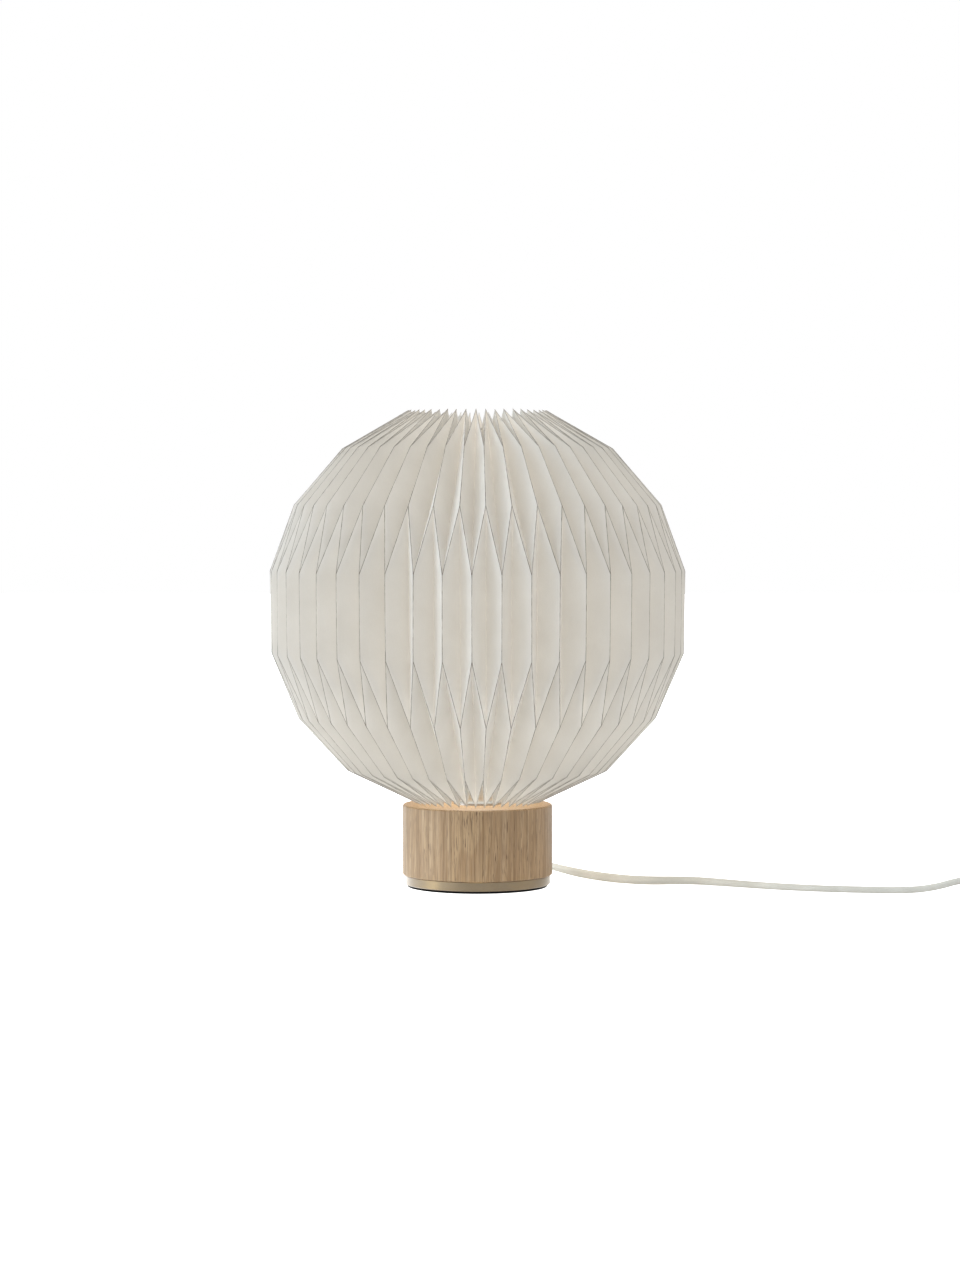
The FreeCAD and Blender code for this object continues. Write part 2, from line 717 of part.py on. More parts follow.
# ---- Bulb ----
def make_bulb():
    """The opal globe and its collar, the screw cap with its contact, and the lit board inside."""
    collar_bottom = bulb_cap_top - 1.0
    collar_top = bulb_cap_top + bulb_collar_height
    neck_radius = bulb_collar_radius - slip_clearance
    drop = math.sqrt(bulb_globe_radius**2 - neck_radius**2)
    globe = Part.makeSphere(bulb_globe_radius, Vector(0, 0, globe_centre))
    neck_top = globe_centre - drop
    globe = globe.cut(box(-50, 50, -50, 50, globe_centre - 50, neck_top))
    neck = cylinder(neck_radius, collar_top, neck_top + 0.4)
    outer = globe.fuse(neck).removeSplitter() if neck_top > collar_top else globe
    hollow = Part.makeSphere(bulb_globe_radius - bulb_wall, Vector(0, 0, globe_centre))
    throat = cylinder(neck_radius - bulb_wall, collar_top - 1, globe_centre)
    glass = outer.cut([hollow, throat])
    save("bulb_globe", glass)

    bore = bulb_cap_radius - bulb_cap_lip
    collar = turned(
        [
            (bore, collar_bottom),
            (bulb_cap_radius + bulb_cap_lip, collar_bottom),
            (bulb_cap_radius + bulb_cap_lip, skirt_top + holder_mouth_bevel),
            (bulb_collar_radius, collar_top - bulb_collar_rim),
            (bulb_collar_radius, collar_top),
            (bore, collar_top),
        ]
    )
    collar = collar.cut(cylinder(bulb_cap_radius + thread_clearance, collar_bottom - 1, bulb_cap_top))
    save("bulb_collar", collar)

    wall = bulb_cap_wall
    cone_top = bulb_cap_bottom + bulb_cap_lip + wall
    cap = turned(
        [
            (bulb_cap_mouth_radius, bulb_cap_bottom),
            (bulb_cap_radius - bulb_cap_lip, bulb_cap_bottom),
            (bulb_cap_radius, cone_top),
            (bulb_cap_radius, bulb_cap_top),
            (bulb_cap_radius - wall, bulb_cap_top),
            (bulb_cap_radius - wall, cone_top + 0.1),
            (bulb_cap_mouth_radius, bulb_cap_bottom + wall),
        ]
    )
    save("bulb_screw_cap", cap)
    contact_top = bulb_bottom + bulb_contact_height
    plug_edge = bulb_cap_mouth_radius - slip_clearance
    bore = bulb_contact_radius - 0.3
    insulator = turned(
        [
            (bore, contact_top),
            (bore + 0.6, contact_top),
            (bulb_cap_radius - bulb_cap_lip - slip_clearance, bulb_cap_bottom),
            (plug_edge, bulb_cap_bottom),
            (plug_edge, bulb_cap_bottom + 1.2),
            (bore, bulb_cap_bottom + 1.2),
        ]
    )
    save("bulb_insulator", insulator)
    stem = bore - thread_clearance
    contact = turned(
        [
            (0, bulb_bottom),
            (bulb_contact_radius - 0.9, bulb_bottom + 0.1),
            (bulb_contact_radius, contact_top),
            (stem, contact_top),
            (stem, bulb_cap_bottom + 1.0),
            (0, bulb_cap_bottom + 1.0),
        ]
    )
    save("bulb_contact", contact)
    board_radius = neck_radius - bulb_wall - 0.4
    board_top = collar_top + led_board_thickness
    board = cylinder(board_radius, collar_top, board_top)
    chips = []
    half = led_chip_width / 2
    for index in range(led_chip_count):
        angle = 2 * math.pi * index / led_chip_count
        x = 0.65 * board_radius * math.cos(angle)
        y = 0.65 * board_radius * math.sin(angle)
        chips.append(box(x - half, x + half, y - half, y + half, board_top, board_top + led_chip_height))
    save("led_board", board.fuse(chips).removeSplitter())


# ---- Shade ----
# Each fold ring as (radius, height): how far out it stands between the hem and the belly, and how far up.
# B folds point outwards at the crown, the belly and the hem, and A folds between them.
fold_rings = {
    "B1": (0.048, 1.0),
    "A_top": (0.014, 0.931),
    "A1": (0.503, 0.904),
    "A2": (0.835, 0.760),
    "B2": (1.0, 0.593),
    "B3": (0.994, 0.384),
    "A3": (0.805, 0.219),
    "A4": (0.472, 0.0845),
    "A_bot": (-0.021, 0.068),
    "B4": (0.0, 0.0),
}
# The panel between a B fold on its left and an A fold on its right, each piece named from outside,
# anticlockwise. The panel on the other side of each fold is its mirror image.
panel_facets = [
    ("A_top", "B1", "A1"),
    ("B1", "B2", "A1"),
    ("B2", "A2", "A1"),
    ("B2", "B3", "A2"),
    ("B3", "A3", "A2"),
    ("B3", "B4", "A4"),
    ("B3", "A4", "A3"),
    ("B4", "A_bot", "A4"),
]


def ring_place(ring):
    out, up = fold_rings[ring]
    radius = shade_hem_radius + out * (shade_radius - shade_hem_radius)
    return radius, oak_top + shade_lift + up * shade_height


def fold_offset(ring):
    """The step from the sheet's middle to its outer face at a fold, in the fold's own upright plane."""
    half_pitch = math.pi / pleat_count
    corners = {}
    for name in fold_rings:
        radius, height = ring_place(name)
        angle = 0.0 if name.startswith("B") else half_pitch
        corners[name] = Vector(radius * math.sin(angle), -radius * math.cos(angle), height)
    angle = 0.0 if ring.startswith("B") else half_pitch
    outwards = Vector(math.sin(angle), -math.cos(angle), 0)
    sum_rr = sum_rz = sum_zz = sum_r = sum_z = 0.0
    for facet in panel_facets:
        if ring not in facet:
            continue
        a, b, c = (corners[name] for name in facet)
        normal = (b - a).cross(c - a).normalize()
        along_r = normal.dot(outwards)
        along_z = normal.z
        sum_rr += along_r * along_r
        sum_rz += along_r * along_z
        sum_zz += along_z * along_z
        sum_r += along_r * paper_thickness / 2
        sum_z += along_z * paper_thickness / 2
    weight = 1e-4
    sum_rr += weight
    sum_zz += weight
    spread = sum_rr * sum_zz - sum_rz * sum_rz
    step_r = (sum_r * sum_zz - sum_z * sum_rz) / spread
    step_z = (sum_z * sum_rr - sum_r * sum_rz) / spread
    length = math.hypot(step_r, step_z)
    scale = min(1.0, paper_offset_limit / length)
    return step_r * scale, step_z * scale


def sheet_folds():
    """The first and last fold of each glued sheet, in even shares, with no seam at the front."""
    folds = 2 * pleat_count
    bounds = [round((index + 0.5) * folds / sheet_count) for index in range(sheet_count + 1)]
    return list(zip(bounds, bounds[1:]))


def rings_of(fold):
    letter = "B" if fold % 2 == 0 else "A"
    return [ring for ring in fold_rings if ring.startswith(letter)]


def sheet_points(first, last):
    """The corners of a sheet's outer and inner faces, and where each one is by side, fold and ring."""
    points = []
    index = {}
    for side in (1, -1):
        for fold in range(first, last + 1):
            angle = fold_turn + fold * math.pi / pleat_count
            for ring in rings_of(fold):
                radius, height = ring_place(ring)
                step_r, step_z = fold_offset(ring)
                radius += side * step_r
                height += side * step_z
                index[side, fold, ring] = len(points)
                points.append(Vector(radius * math.sin(angle), -radius * math.cos(angle), height))
    return points, index


def seam_strip(index, fold, opens_left):
    """The cut edge of a sheet along its first or last fold, which meets the next sheet's."""
    strip = []
    rings = rings_of(fold)
    for upper, lower in zip(rings, rings[1:]):
        outer_top = index[1, fold, upper]
        outer_low = index[1, fold, lower]
        inner_top = index[-1, fold, upper]
        inner_low = index[-1, fold, lower]
        pair = [(outer_top, inner_top, inner_low), (outer_top, inner_low, outer_low)]
        strip += pair if opens_left else [tuple(reversed(corner)) for corner in pair]
    return strip


def make_sheet(name, first, last):
    points, index = sheet_points(first, last)
    facets = seam_strip(index, first, True) + seam_strip(index, last, False)
    for fold in range(first, last):
        mirrored = fold % 2 == 1
        b_fold, a_fold = (fold + 1, fold) if mirrored else (fold, fold + 1)
        for side in (1, -1):
            for facet in panel_facets:
                corner = [index[side, b_fold if ring.startswith("B") else a_fold, ring] for ring in facet]
                if mirrored != (side == -1):
                    corner.reverse()
                facets.append(tuple(corner))
        for b_ring, a_ring, upper in (("B1", "A_top", True), ("B4", "A_bot", False)):
            outer_b = index[1, b_fold, b_ring]
            outer_a = index[1, a_fold, a_ring]
            inner_b = index[-1, b_fold, b_ring]
            inner_a = index[-1, a_fold, a_ring]
            for triangle in ((outer_b, outer_a, inner_a), (outer_b, inner_a, inner_b)):
                facets.append(triangle if upper != mirrored else tuple(reversed(triangle)))
    shell = Part.Shape()
    shell.makeShapeFromMesh((points, facets), 0.001)
    sheet = Part.Solid(shell.Shells[0])
    if sheet.Volume < 0:
        sheet.reverse()
    save(name, sheet)
    lowest = sheet.BoundBox.ZMin - oak_top
    print(f"{name}: {len(sheet.Faces)} facets, closed {sheet.isClosed()}, {lowest:.2f} mm over the oak")


def make_shade():
    """The folded sheets, glued edge to edge, and the threads that gather the pleats at both necks."""
    for number, (first, last) in enumerate(sheet_folds(), 1):
        make_sheet(f"shade_sheet_{number}", first, last)
    for name, ring_radius, inner_ring, outer_ring, tip, foot in (
        ("top_gather_thread", top_thread_ring_radius, "A_top", "A1", "B1", "B2"),
        ("bottom_gather_thread", bottom_thread_ring_radius, "A_bot", "A4", "B4", "B3"),
    ):
        inner_height = height_between(inner_ring, outer_ring, ring_radius)
        outer_height = height_between(tip, foot, ring_radius)
        middle = Vector(0, 0, (inner_height + outer_height) / 2)
        save(name, Part.makeTorus(ring_radius, thread_radius, middle))


def height_between(ring_a, ring_b, radius):
    """The height of the fold from ring_a to ring_b where it is this far from the axis."""
    radius_a, height_a = ring_place(ring_a)
    radius_b, height_b = ring_place(ring_b)
    share = (radius - radius_a) / (radius_b - radius_a)
    return height_a + share * (height_b - height_a)


def make_carrier():
    """A steel hub under the shade ring, with wire arms down to a ring that lies on the inner folds."""
    ring_height = height_between("A_bot", "A4", carrier_ring_radius) + paper_offset_limit
    ring_height += carrier_gap + carrier_wire_radius
    ring = Part.makeTorus(carrier_ring_radius, carrier_wire_radius, Vector(0, 0, ring_height))
    hub = tube(shade_ring_radius, holder_thread_radius + slip_clearance, flange_top, hub_top)
    arm_start = Vector(shade_ring_radius - 2.0, 0, flange_top + carrier_wire_radius * 0.4)
    arm_end = Vector(carrier_ring_radius, 0, ring_height)
    way = arm_end - arm_start
    arm = Part.makeCylinder(carrier_wire_radius, way.Length, arm_start, way)
    arm = arm.cut(tube(shade_ring_radius + 1, 1, hub_top - 0.001, hub_top + 5))
    arm = arm.cut(tube(holder_flange_radius + 1.2, 1, flange_top - 5, flange_top))
    carrier = hub.fuse([ring] + around(arm, carrier_arm_count, 30)).removeSplitter()
    save("shade_carrier", carrier)


# ---- Flex on the floor ----
def biarc(start, start_way, end, end_way):
    """Two arcs that leave start along start_way and reach end along end_way."""
    across = end - start
    ways = start_way + end_way
    share = 2 * (1 - start_way.dot(end_way))
    lean = across.dot(ways)
    if share < 1e-9:
        reach = across.Length / 4
    else:
        reach = (math.sqrt(lean * lean + share * across.dot(across)) - lean) / share
    corner_a = start + start_way * reach
    corner_b = end - end_way * reach
    middle = (corner_a + corner_b) / 2
    return [arc_between(start, corner_a, middle), arc_between(middle, corner_b, end)]


def coil_place(turns):
    """Where the coiled flex is after so many turns: in on the floor, up a layer, and out again."""
    climb_start = coil_layer_turns
    climb_end = climb_start + 0.5
    low = cord_radius + coil_lift
    dip = coil_pitch / (2 * math.pi)
    if turns <= climb_start:
        radius = coil_inner_radius + coil_pitch * (climb_start - turns)
        height = low
    elif turns < climb_end:
        along = (turns - climb_start) / (climb_end - climb_start)
        radius = coil_inner_radius - dip * math.sin(math.pi * along)
        height = low + coil_layer_pitch * (1 - math.cos(math.pi * along)) / 2
    else:
        radius = coil_inner_radius + coil_pitch * (turns - climb_end)
        height = low + coil_layer_pitch
    angle = 2 * math.pi * turns
    return Vector(
        coil_centre[0] + radius * math.cos(angle), coil_centre[1] + radius * math.sin(angle), height
    )


def coil_way(turns):
    step = 1e-5
    return (coil_place(turns + step) - coil_place(turns - step)).normalize()


coil_turns = 2 * coil_layer_turns + 0.5
drop_end = Vector(coil_place(coil_turns).x, coil_centre[1] - coil_drop_length, plug_thickness / 2)
coil_end = drop_end - Vector(0, coil_end_length, 0)


def make_coil():
    """One unbroken tube: a straight lead in, the turns, and a straight lead out to the plug."""
    step = 0.25
    count = round(coil_turns / step)
    knots = [index * step for index in range(count + 1)]
    places = [coil_place(turns) for turns in knots]
    ways = [coil_way(turns) for turns in knots]
    ways[0] = Vector(0, 1, 0)
    ways[-1] = Vector(0, -1, 0)
    edges = []
    for index in range(count):
        edges += biarc(places[index], ways[index], places[index + 1], ways[index + 1])
    edges += biarc(places[-1], ways[-1], drop_end, ways[-1])
    edges.append(Part.LineSegment(drop_end, coil_end).toShape())
    path = Part.Wire(edges)
    save("cord_coil", swept_tube("cord_coil", path, cord_radius))

    sample_step = 2.0
    samples = path.discretize(Distance=sample_step)
    skip = math.ceil(6 * cord_radius / sample_step)
    least = min(
        (samples[i] - samples[j]).Length
        for i in range(len(samples))
        for j in range(i + skip, len(samples))
        if abs(samples[i].x - samples[j].x) < 8 and abs(samples[i].y - samples[j].y) < 8
    )
    print(f"cord_coil: least gap to itself {least - 2 * cord_radius:.2f} mm over {len(samples)} points")


def make_tie():
    """A strip tie round all the turns at one place on the coil."""
    inner_x = coil_inner_radius - coil_pitch / (2 * math.pi) - cord_radius - 3 * tie_clearance
    outer_x = coil_inner_radius + coil_pitch * coil_layer_turns + cord_radius + 0.2
    low = coil_lift - tie_clearance
    high = coil_lift + 2 * cord_radius + coil_layer_pitch + tie_clearance
    half = tie_width / 2
    wall = tie_thickness
    band = box(inner_x - wall, outer_x + wall, -half, half, low - wall, high + wall)
    band = band.cut(box(inner_x, outer_x, -half - 1, half + 1, low, high))
    band.rotate(Vector(0, 0, 0), UP, math.degrees(tie_angle))
    band.translate(Vector(coil_centre[0], coil_centre[1], 0))
    save("cord_tie", band)


def make_cord():
    for name, route in (("power_cord", lead_route), ("power_cord_link", link_route)):
        save(name, swept_tube(name, bent_path(name, route), cord_radius))
    make_coil()
    make_tie()


# ---- Inline switch ----
def stadium(length, width, bottom, top, corner):
    """A bar with fully rounded ends and softened long edges, lying along X about its own middle."""
    bar = box(-length / 2, length / 2, -width / 2, width / 2, bottom, top)
    upright = [e for e in bar.Edges if e.BoundBox.ZLength > 1]
    return bar.makeFillet(corner, upright)


def softened(solid, radius, height):
    """Rounds the edges of a solid that lie flat at this height."""
    edges = []
    for edge in solid.Edges:
        box_of_edge = edge.BoundBox
        if abs(box_of_edge.ZMin - height) < 0.01 and abs(box_of_edge.ZMax - height) < 0.01:
            edges.append(edge)
    return solid.makeFillet(radius, edges)


def at_switch(solid):
    placed = solid.copy()
    placed.translate(Vector(switch_centre[0], switch_centre[1], 0))
    return placed


def lying_x(radius, x0, x1, y, z):
    return Part.makeCylinder(radius, x1 - x0, Vector(x0, y, z), RIGHT)


def on_axle(radius, length):
    """A cylinder of this length along Y about the rocker's axle."""
    return Part.makeCylinder(radius, length, Vector(0, -length / 2, rocker_axle_height), BACK)


def make_switch():
    """Two screwed housing halves round the rocker's axle, the cord clamps, wires and contacts."""
    half = switch_length / 2
    end_corner = (switch_width - switch_end_flat) / 2
    inner_length = switch_length - 2 * switch_wall
    inner_width = switch_width - 2 * switch_wall
    inner_corner = end_corner - switch_wall
    cord_way = lying_x(cord_radius + thread_clearance, -half - 1, half + 1, 0, switch_split)
    post_x = half - switch_post_setback
    post_y = inner_width / 2 - switch_post_radius + switch_post_bite
    posts = [(post_x, post_y), (-post_x, -post_y)]
    clamp_x = half - switch_clamp_setback
    clamp_half = switch_clamp_width / 2

    lower = stadium(switch_length, switch_width, 0, switch_split, end_corner)
    lower = softened(lower, switch_low_rounding, 0)
    lower = lower.cut(stadium(inner_length, inner_width, switch_wall, switch_split + 1, inner_corner))
    upper = stadium(switch_length, switch_width, switch_split, switch_height, end_corner)
    upper = softened(upper, switch_high_rounding, switch_height)
    ceiling = switch_height - switch_wall
    upper = upper.cut(stadium(inner_length, inner_width, switch_split - 1, ceiling, inner_corner))
    for x, y in posts:
        lower = lower.fuse(cylinder(switch_post_radius, switch_screw_head_bottom, switch_split, x, y))
        upper = upper.fuse(cylinder(switch_post_radius, switch_split, switch_height - 1, x, y))
    rest_half = switch_rest_thickness / 2
    rest_top = switch_split - switch_rest_drop
    for x in (-clamp_x, clamp_x):
        lower = lower.fuse(box(x - rest_half, x + rest_half, -clamp_half, clamp_half, 1, rest_top))
    boss_out = rocker_width / 2 + rocker_gap
    boss_length = inner_width / 2 - boss_out + 0.5
    boss_low = rocker_axle_height - boss_below_axle
    for side in (-1, 1):
        y0 = boss_out if side > 0 else -boss_out - boss_length
        boss = box(-boss_width / 2, boss_width / 2, y0, y0 + boss_length, boss_low, switch_height - 1)
        upper = upper.fuse(boss)
    upper = upper.cut(on_axle(rocker_radius + rocker_gap, 2 * boss_out))
    axle_length = 2 * (boss_out + boss_length - boss_wall)
    upper = upper.cut(on_axle(rocker_axle_radius + thread_clearance, axle_length))
    for x, y in posts:
        bore = switch_screw_radius + thread_clearance
        through = cylinder(bore, switch_screw_head_top, switch_height - 2.5, x, y)
        head_way = cylinder(switch_screw_head_radius + 0.2, -1, switch_screw_head_top, x, y)
        lower = lower.cut(through).cut(head_way)
        upper = upper.cut(through)
    lower = lower.cut(cord_way)
    upper = upper.cut(cord_way)
    save("switch_housing_lower", at_switch(lower.removeSplitter()))
    save("switch_housing_upper", at_switch(upper.removeSplitter()))

    screws = []
    slot_half = switch_slot_width / 2
    slot_top = switch_screw_head_bottom + switch_slot_depth
    for x, y in posts:
        head = cylinder(switch_screw_head_radius, switch_screw_head_bottom, switch_screw_head_top, x, y)
        shank = cylinder(switch_screw_radius, switch_screw_head_top, switch_height - 3.0, x, y)
        slot = box(x - 3, x + 3, y - slot_half, y + slot_half, 0, slot_top)
        screws.append(at_switch(head.fuse(shank).cut(slot)))
    save("switch_screws", *screws)
    save("switch_axle", at_switch(on_axle(rocker_axle_radius, axle_length)))

    tail_end = half - switch_flex_stub
    tails = []
    for side in (-1, 1):
        x0, x1 = sorted((side * half, side * tail_end))
        tails.append(at_switch(lying_x(cord_radius, x0, x1, 0, switch_split)))
    save("switch_flex_ends", *tails)

    clamp_bars = []
    bar_half = switch_clamp_thickness / 2
    bar_low = switch_split + switch_clamp_gap
    for x in (-clamp_x, clamp_x):
        bar = box(x - bar_half, x + bar_half, -clamp_half, clamp_half, bar_low, bar_low + switch_clamp_height)
        clamp_bars.append(at_switch(bar.cut(cord_way)))
    save("switch_cord_clamps", *clamp_bars)

    radius = switch_wire_radius
    block_half = switch_terminal_length / 2
    live_y = -switch_wire_offset
    neutral_y = switch_wire_offset
    low_z = switch_wall + switch_wire_rise
    sweep_y = neutral_y + switch_wire_sweep
    sweep_x = switch_contact_place + radius
    neutral_route = [
        (-tail_end, neutral_y, switch_split),
        (-tail_end + 4, neutral_y, switch_split),
        (-sweep_x, sweep_y, low_z),
        (sweep_x, sweep_y, low_z),
        (tail_end - 4, neutral_y, switch_split),
        (tail_end, neutral_y, switch_split),
    ]
    neutral = swept_tube("switch_neutral_wire", bent_path("switch_neutral_wire", neutral_route), radius)
    save("switch_neutral_wire", at_switch(neutral))
    lives = []
    for side in (-1, 1):
        x0, x1 = sorted((side * tail_end, side * (switch_contact_place + block_half)))
        lives.append(at_switch(lying_x(radius, x0, x1, live_y, switch_split)))
    save("switch_live_wires", *lives)

    terminals = []
    high_y = live_y + switch_terminal_edge
    low_y = high_y - switch_terminal_width
    terminal_top = switch_split + switch_terminal_rise
    for side in (-1, 1):
        x = side * switch_contact_place
        terminal = box(x - block_half, x + block_half, low_y, high_y, switch_wall, terminal_top)
        wire_hole = lying_x(radius + thread_clearance, *sorted((side * half, x)), live_y, switch_split)
        terminals.append(at_switch(terminal.cut(wire_hole)))
    save("switch_terminals", *terminals)

    rocker_foot = rocker_radius * math.sin(math.asin(rocker_depth / rocker_radius) + rocker_travel / 2)
    top = rocker_axle_height - rocker_foot - bridge_gap
    end = switch_contact_place - block_half
    bridge_y = live_y - 0.2
    bridge = box(-end, end, bridge_y - bridge_width, bridge_y, top - bridge_thickness, top)
    save("switch_contact_bridge", at_switch(bridge))


def make_rocker():
    """The rocker: two sloping finger faces over round ends that keep their gap at every angle."""
    barrel = on_axle(rocker_radius, rocker_width)
    reach = rocker_radius + 1
    crown = rocker_axle_height + rocker_crown
    cover = [
        Vector(-reach, -reach, crown),
        Vector(0, -reach, crown - rocker_dish),
        Vector(reach, -reach, crown),
        Vector(reach, -reach, crown + reach),
        Vector(-reach, -reach, crown + reach),
    ]
    above = Part.Face(Part.makePolygon(cover + cover[:1])).extrude(Vector(0, 2 * reach, 0))
    foot = rocker_axle_height - rocker_depth
    below = box(-reach, reach, -reach, reach, foot - 2 * reach, foot)
    rocker = barrel.cut([above, below])
    rocker = rocker.cut(on_axle(rocker_axle_radius + rocker_running_clearance, 2 * reach))
    rocker.rotate(Vector(0, 0, rocker_axle_height), BACK, -math.degrees(rocker_travel / 2))
    save("switch_rocker", at_switch(rocker))


# ---- Plug ----
def make_plug():
    """A flat two-pin plug that lies on the floor at the end of the coil's lead."""
    entry_x = coil_end.x
    relief_start = coil_end.y
    entry_z = coil_end.z
    body_start = plug_relief_length
    outline = [
        (body_start, plug_neck_width / 2),
        (body_start + 0.42 * plug_length, plug_width / 2),
        (body_start + 0.80 * plug_length, plug_width / 2),
        (body_start + plug_length, plug_face_width / 2),
    ]
    points = [Vector(along, across, 0) for along, across in outline]
    points += [Vector(along, -across, 0) for along, across in reversed(outline)]
    slab = Part.Face(Part.makePolygon(points + points[:1])).extrude(Vector(0, 0, plug_thickness))
    slab = slab.makeFillet(plug_corner, [e for e in slab.Edges if e.BoundBox.ZLength > 1])
    rims = [e for e in slab.Edges if e.BoundBox.ZLength < 0.01]
    body = slab.makeFillet(plug_rounding, rims)
    body.translate(Vector(0, 0, -plug_thickness / 2))
    relief_end_radius = plug_neck_width / 2 - plug_relief_setback
    taper_length = plug_relief_length + 2.5
    relief = Part.makeCone(relief_tip_radius, relief_end_radius, taper_length, Vector(0, 0, 0), RIGHT)
    grooves = []
    groove_step = (plug_relief_length - plug_groove_start - 2.0) / plug_groove_count
    floor = relief_tip_radius - relief_groove_floor
    for index in range(plug_groove_count):
        x = plug_groove_start + index * groove_step
        x_end = x + plug_groove_width
        grooves.append(lying_x(plug_neck_width, x, x_end, 0, 0).cut(lying_x(floor, x, x_end, 0, 0)))
    body = body.fuse(relief.cut(grooves))
    body = body.cut(lying_x(cord_radius + thread_clearance, 0, plug_cord_depth, 0, 0))
    pins = []
    sleeves = []
    face = body_start + plug_length
    root = face - pin_buried
    bore = pin_root_radius + thread_clearance
    tip_start = face + pin_sleeve_length
    tip_end = face + pin_length
    sleeve_start = face - pin_sleeve_buried
    for side in (-1, 1):
        y = side * pin_spacing / 2
        tip = lying_x(pin_radius, tip_start, tip_end, y, 0)
        end_edges = [e for e in tip.Edges if abs(e.BoundBox.XMin - tip_end) < 0.01]
        tip = tip.makeFillet(pin_tip_rounding, end_edges)
        pins.append(lying_x(pin_root_radius, root, tip_start, y, 0).fuse(tip))
        sleeve = lying_x(pin_sleeve_radius, sleeve_start, tip_start, y, 0)
        sleeves.append(sleeve.cut(lying_x(bore, sleeve_start - 1, tip_start + 1, y, 0)))
        body = body.cut(lying_x(bore, root - thread_clearance, face + 1, y, 0))
        sleeve_seat = sleeve_start - thread_clearance
        body = body.cut(lying_x(pin_sleeve_radius + thread_clearance, sleeve_seat, face + 1, y, 0))
    for name, solids in (("plug_body", [body]), ("plug_pins", pins), ("plug_pin_sleeves", sleeves)):
        placed = []
        for solid in solids:
            copy = solid.copy()
            copy.rotate(Vector(0, 0, 0), UP, -90)
            copy.translate(Vector(entry_x, relief_start, entry_z))
            placed.append(copy)
        save(name, *placed)


os.makedirs("parts", exist_ok=True)
make_base()
make_relief()
make_clamp()
make_inner_flex()
make_nipple()
make_lampholder()
make_bulb()
make_shade()
make_carrier()
make_cord()
make_switch()
make_rocker()
make_plug()
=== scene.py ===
import math
import random

import bpy
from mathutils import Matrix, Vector


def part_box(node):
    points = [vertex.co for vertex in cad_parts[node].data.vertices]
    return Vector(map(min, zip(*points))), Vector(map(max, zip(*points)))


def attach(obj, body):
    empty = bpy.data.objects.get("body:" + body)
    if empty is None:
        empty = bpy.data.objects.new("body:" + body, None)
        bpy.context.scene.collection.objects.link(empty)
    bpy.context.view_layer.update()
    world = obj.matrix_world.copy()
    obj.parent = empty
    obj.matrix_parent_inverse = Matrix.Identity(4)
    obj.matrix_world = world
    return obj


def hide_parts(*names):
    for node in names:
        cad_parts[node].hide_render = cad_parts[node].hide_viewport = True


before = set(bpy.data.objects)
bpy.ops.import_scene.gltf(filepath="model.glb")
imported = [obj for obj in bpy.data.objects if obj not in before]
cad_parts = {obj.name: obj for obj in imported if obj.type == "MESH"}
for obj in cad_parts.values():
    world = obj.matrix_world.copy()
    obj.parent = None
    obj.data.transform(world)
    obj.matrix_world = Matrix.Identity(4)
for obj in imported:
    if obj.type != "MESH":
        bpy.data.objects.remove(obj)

# A pleated paper table lamp: a folded paper globe on a turned oak block, with a champagne-coloured disc
# and a thin black foot under it. A flat flex leaves at the back and comes round to the right.
# Metres, +Z up, in the frame's own places. The front of the lamp faces -Y.

scene = bpy.context.scene
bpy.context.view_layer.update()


# ---- Camera ----
# The photograph was taken with a long lens from almost two metres in front of the lamp, a little above
# its base. Everything beyond the right edge of this view is put away there.
camera_side = 0.0015
camera_distance = 1.923
camera_height = 0.229
camera_tilt = math.radians(2.47)
focal_px = 3250
photo_height_px = 1280
film_mm = 36.0

lens = bpy.data.cameras.new("photo_lens")
lens.sensor_width = film_mm
lens.lens = film_mm * focal_px / photo_height_px
lens.clip_start = 0.05
lens.clip_end = 50
camera = bpy.data.objects.new("photo_camera", lens)
camera.location = (camera_side, -camera_distance, camera_height)
camera.rotation_euler = (math.radians(90) - camera_tilt, 0, 0)
scene.collection.objects.link(camera)
scene.camera = camera


# ---- Flex ----
# A flat two-core flex with a soft off-white sheath, ribbed lengthwise and finely woven over. It leaves the
# strain relief at the back of the base, comes round to the right on the floor and turns slowly over, flat
# to on edge to flat, on its way to the inline switch. From there it goes to a neat coil and the plug.
flex_width = 0.0052
flex_thickness = 0.0039
flex_rib_count = 18
flex_rib_depth = 0.00007
flex_waist = 0.05
flex_waist_from = 0.7
flex_squareness = 0.06
flex_outline_points = 72
route_order = 3
route_steps = 6

lead_route = [
    (-0.01507, 0.06528, 0.0141),
    (-0.01788, 0.07746, 0.0141),
    (-0.0144, 0.0914, 0.0124),
    (-0.0044, 0.1020, 0.0098),
    (0.0094, 0.1066, 0.0072),
    (0.0239, 0.1042, 0.0050),
    (0.0355, 0.0953, 0.0036),
    (0.0464, 0.0759, 0.0028),
    (0.0560, 0.0542, 0.0026),
    (0.0674, 0.0331, 0.0026),
    (0.0804, 0.0166, 0.0026),
    (0.0926, 0.0070, 0.0026),
    (0.1060, 0.0032, 0.0026),
    (0.1192, 0.0051, 0.0026),
    (0.1314, 0.0024, 0.0026),
    (0.1436, -0.0054, 0.0026),
    (0.1580, -0.0156, 0.0026),
    (0.1770, -0.0270, 0.0026),
    (0.2000, -0.0366, 0.0026),
    (0.2260, -0.0426, 0.0026),
    (0.2520, -0.0452, 0.0026),
    (0.2670, -0.0454, 0.0047),
    (0.2815, -0.0450, 0.0090),
    (0.2930, -0.0450, 0.0090),
]
link_route = [
    (0.3550, -0.0450, 0.0090),
    (0.3670, -0.0450, 0.0090),
    (0.3792, -0.0402, 0.0074),
    (0.3884, -0.0310, 0.0054),
    (0.3934, -0.0186, 0.0039),
    (0.3952, 0.0000, 0.0031),
    (0.3950, 0.0290, 0.0029),
    (0.3944, 0.0590, 0.0032),
]

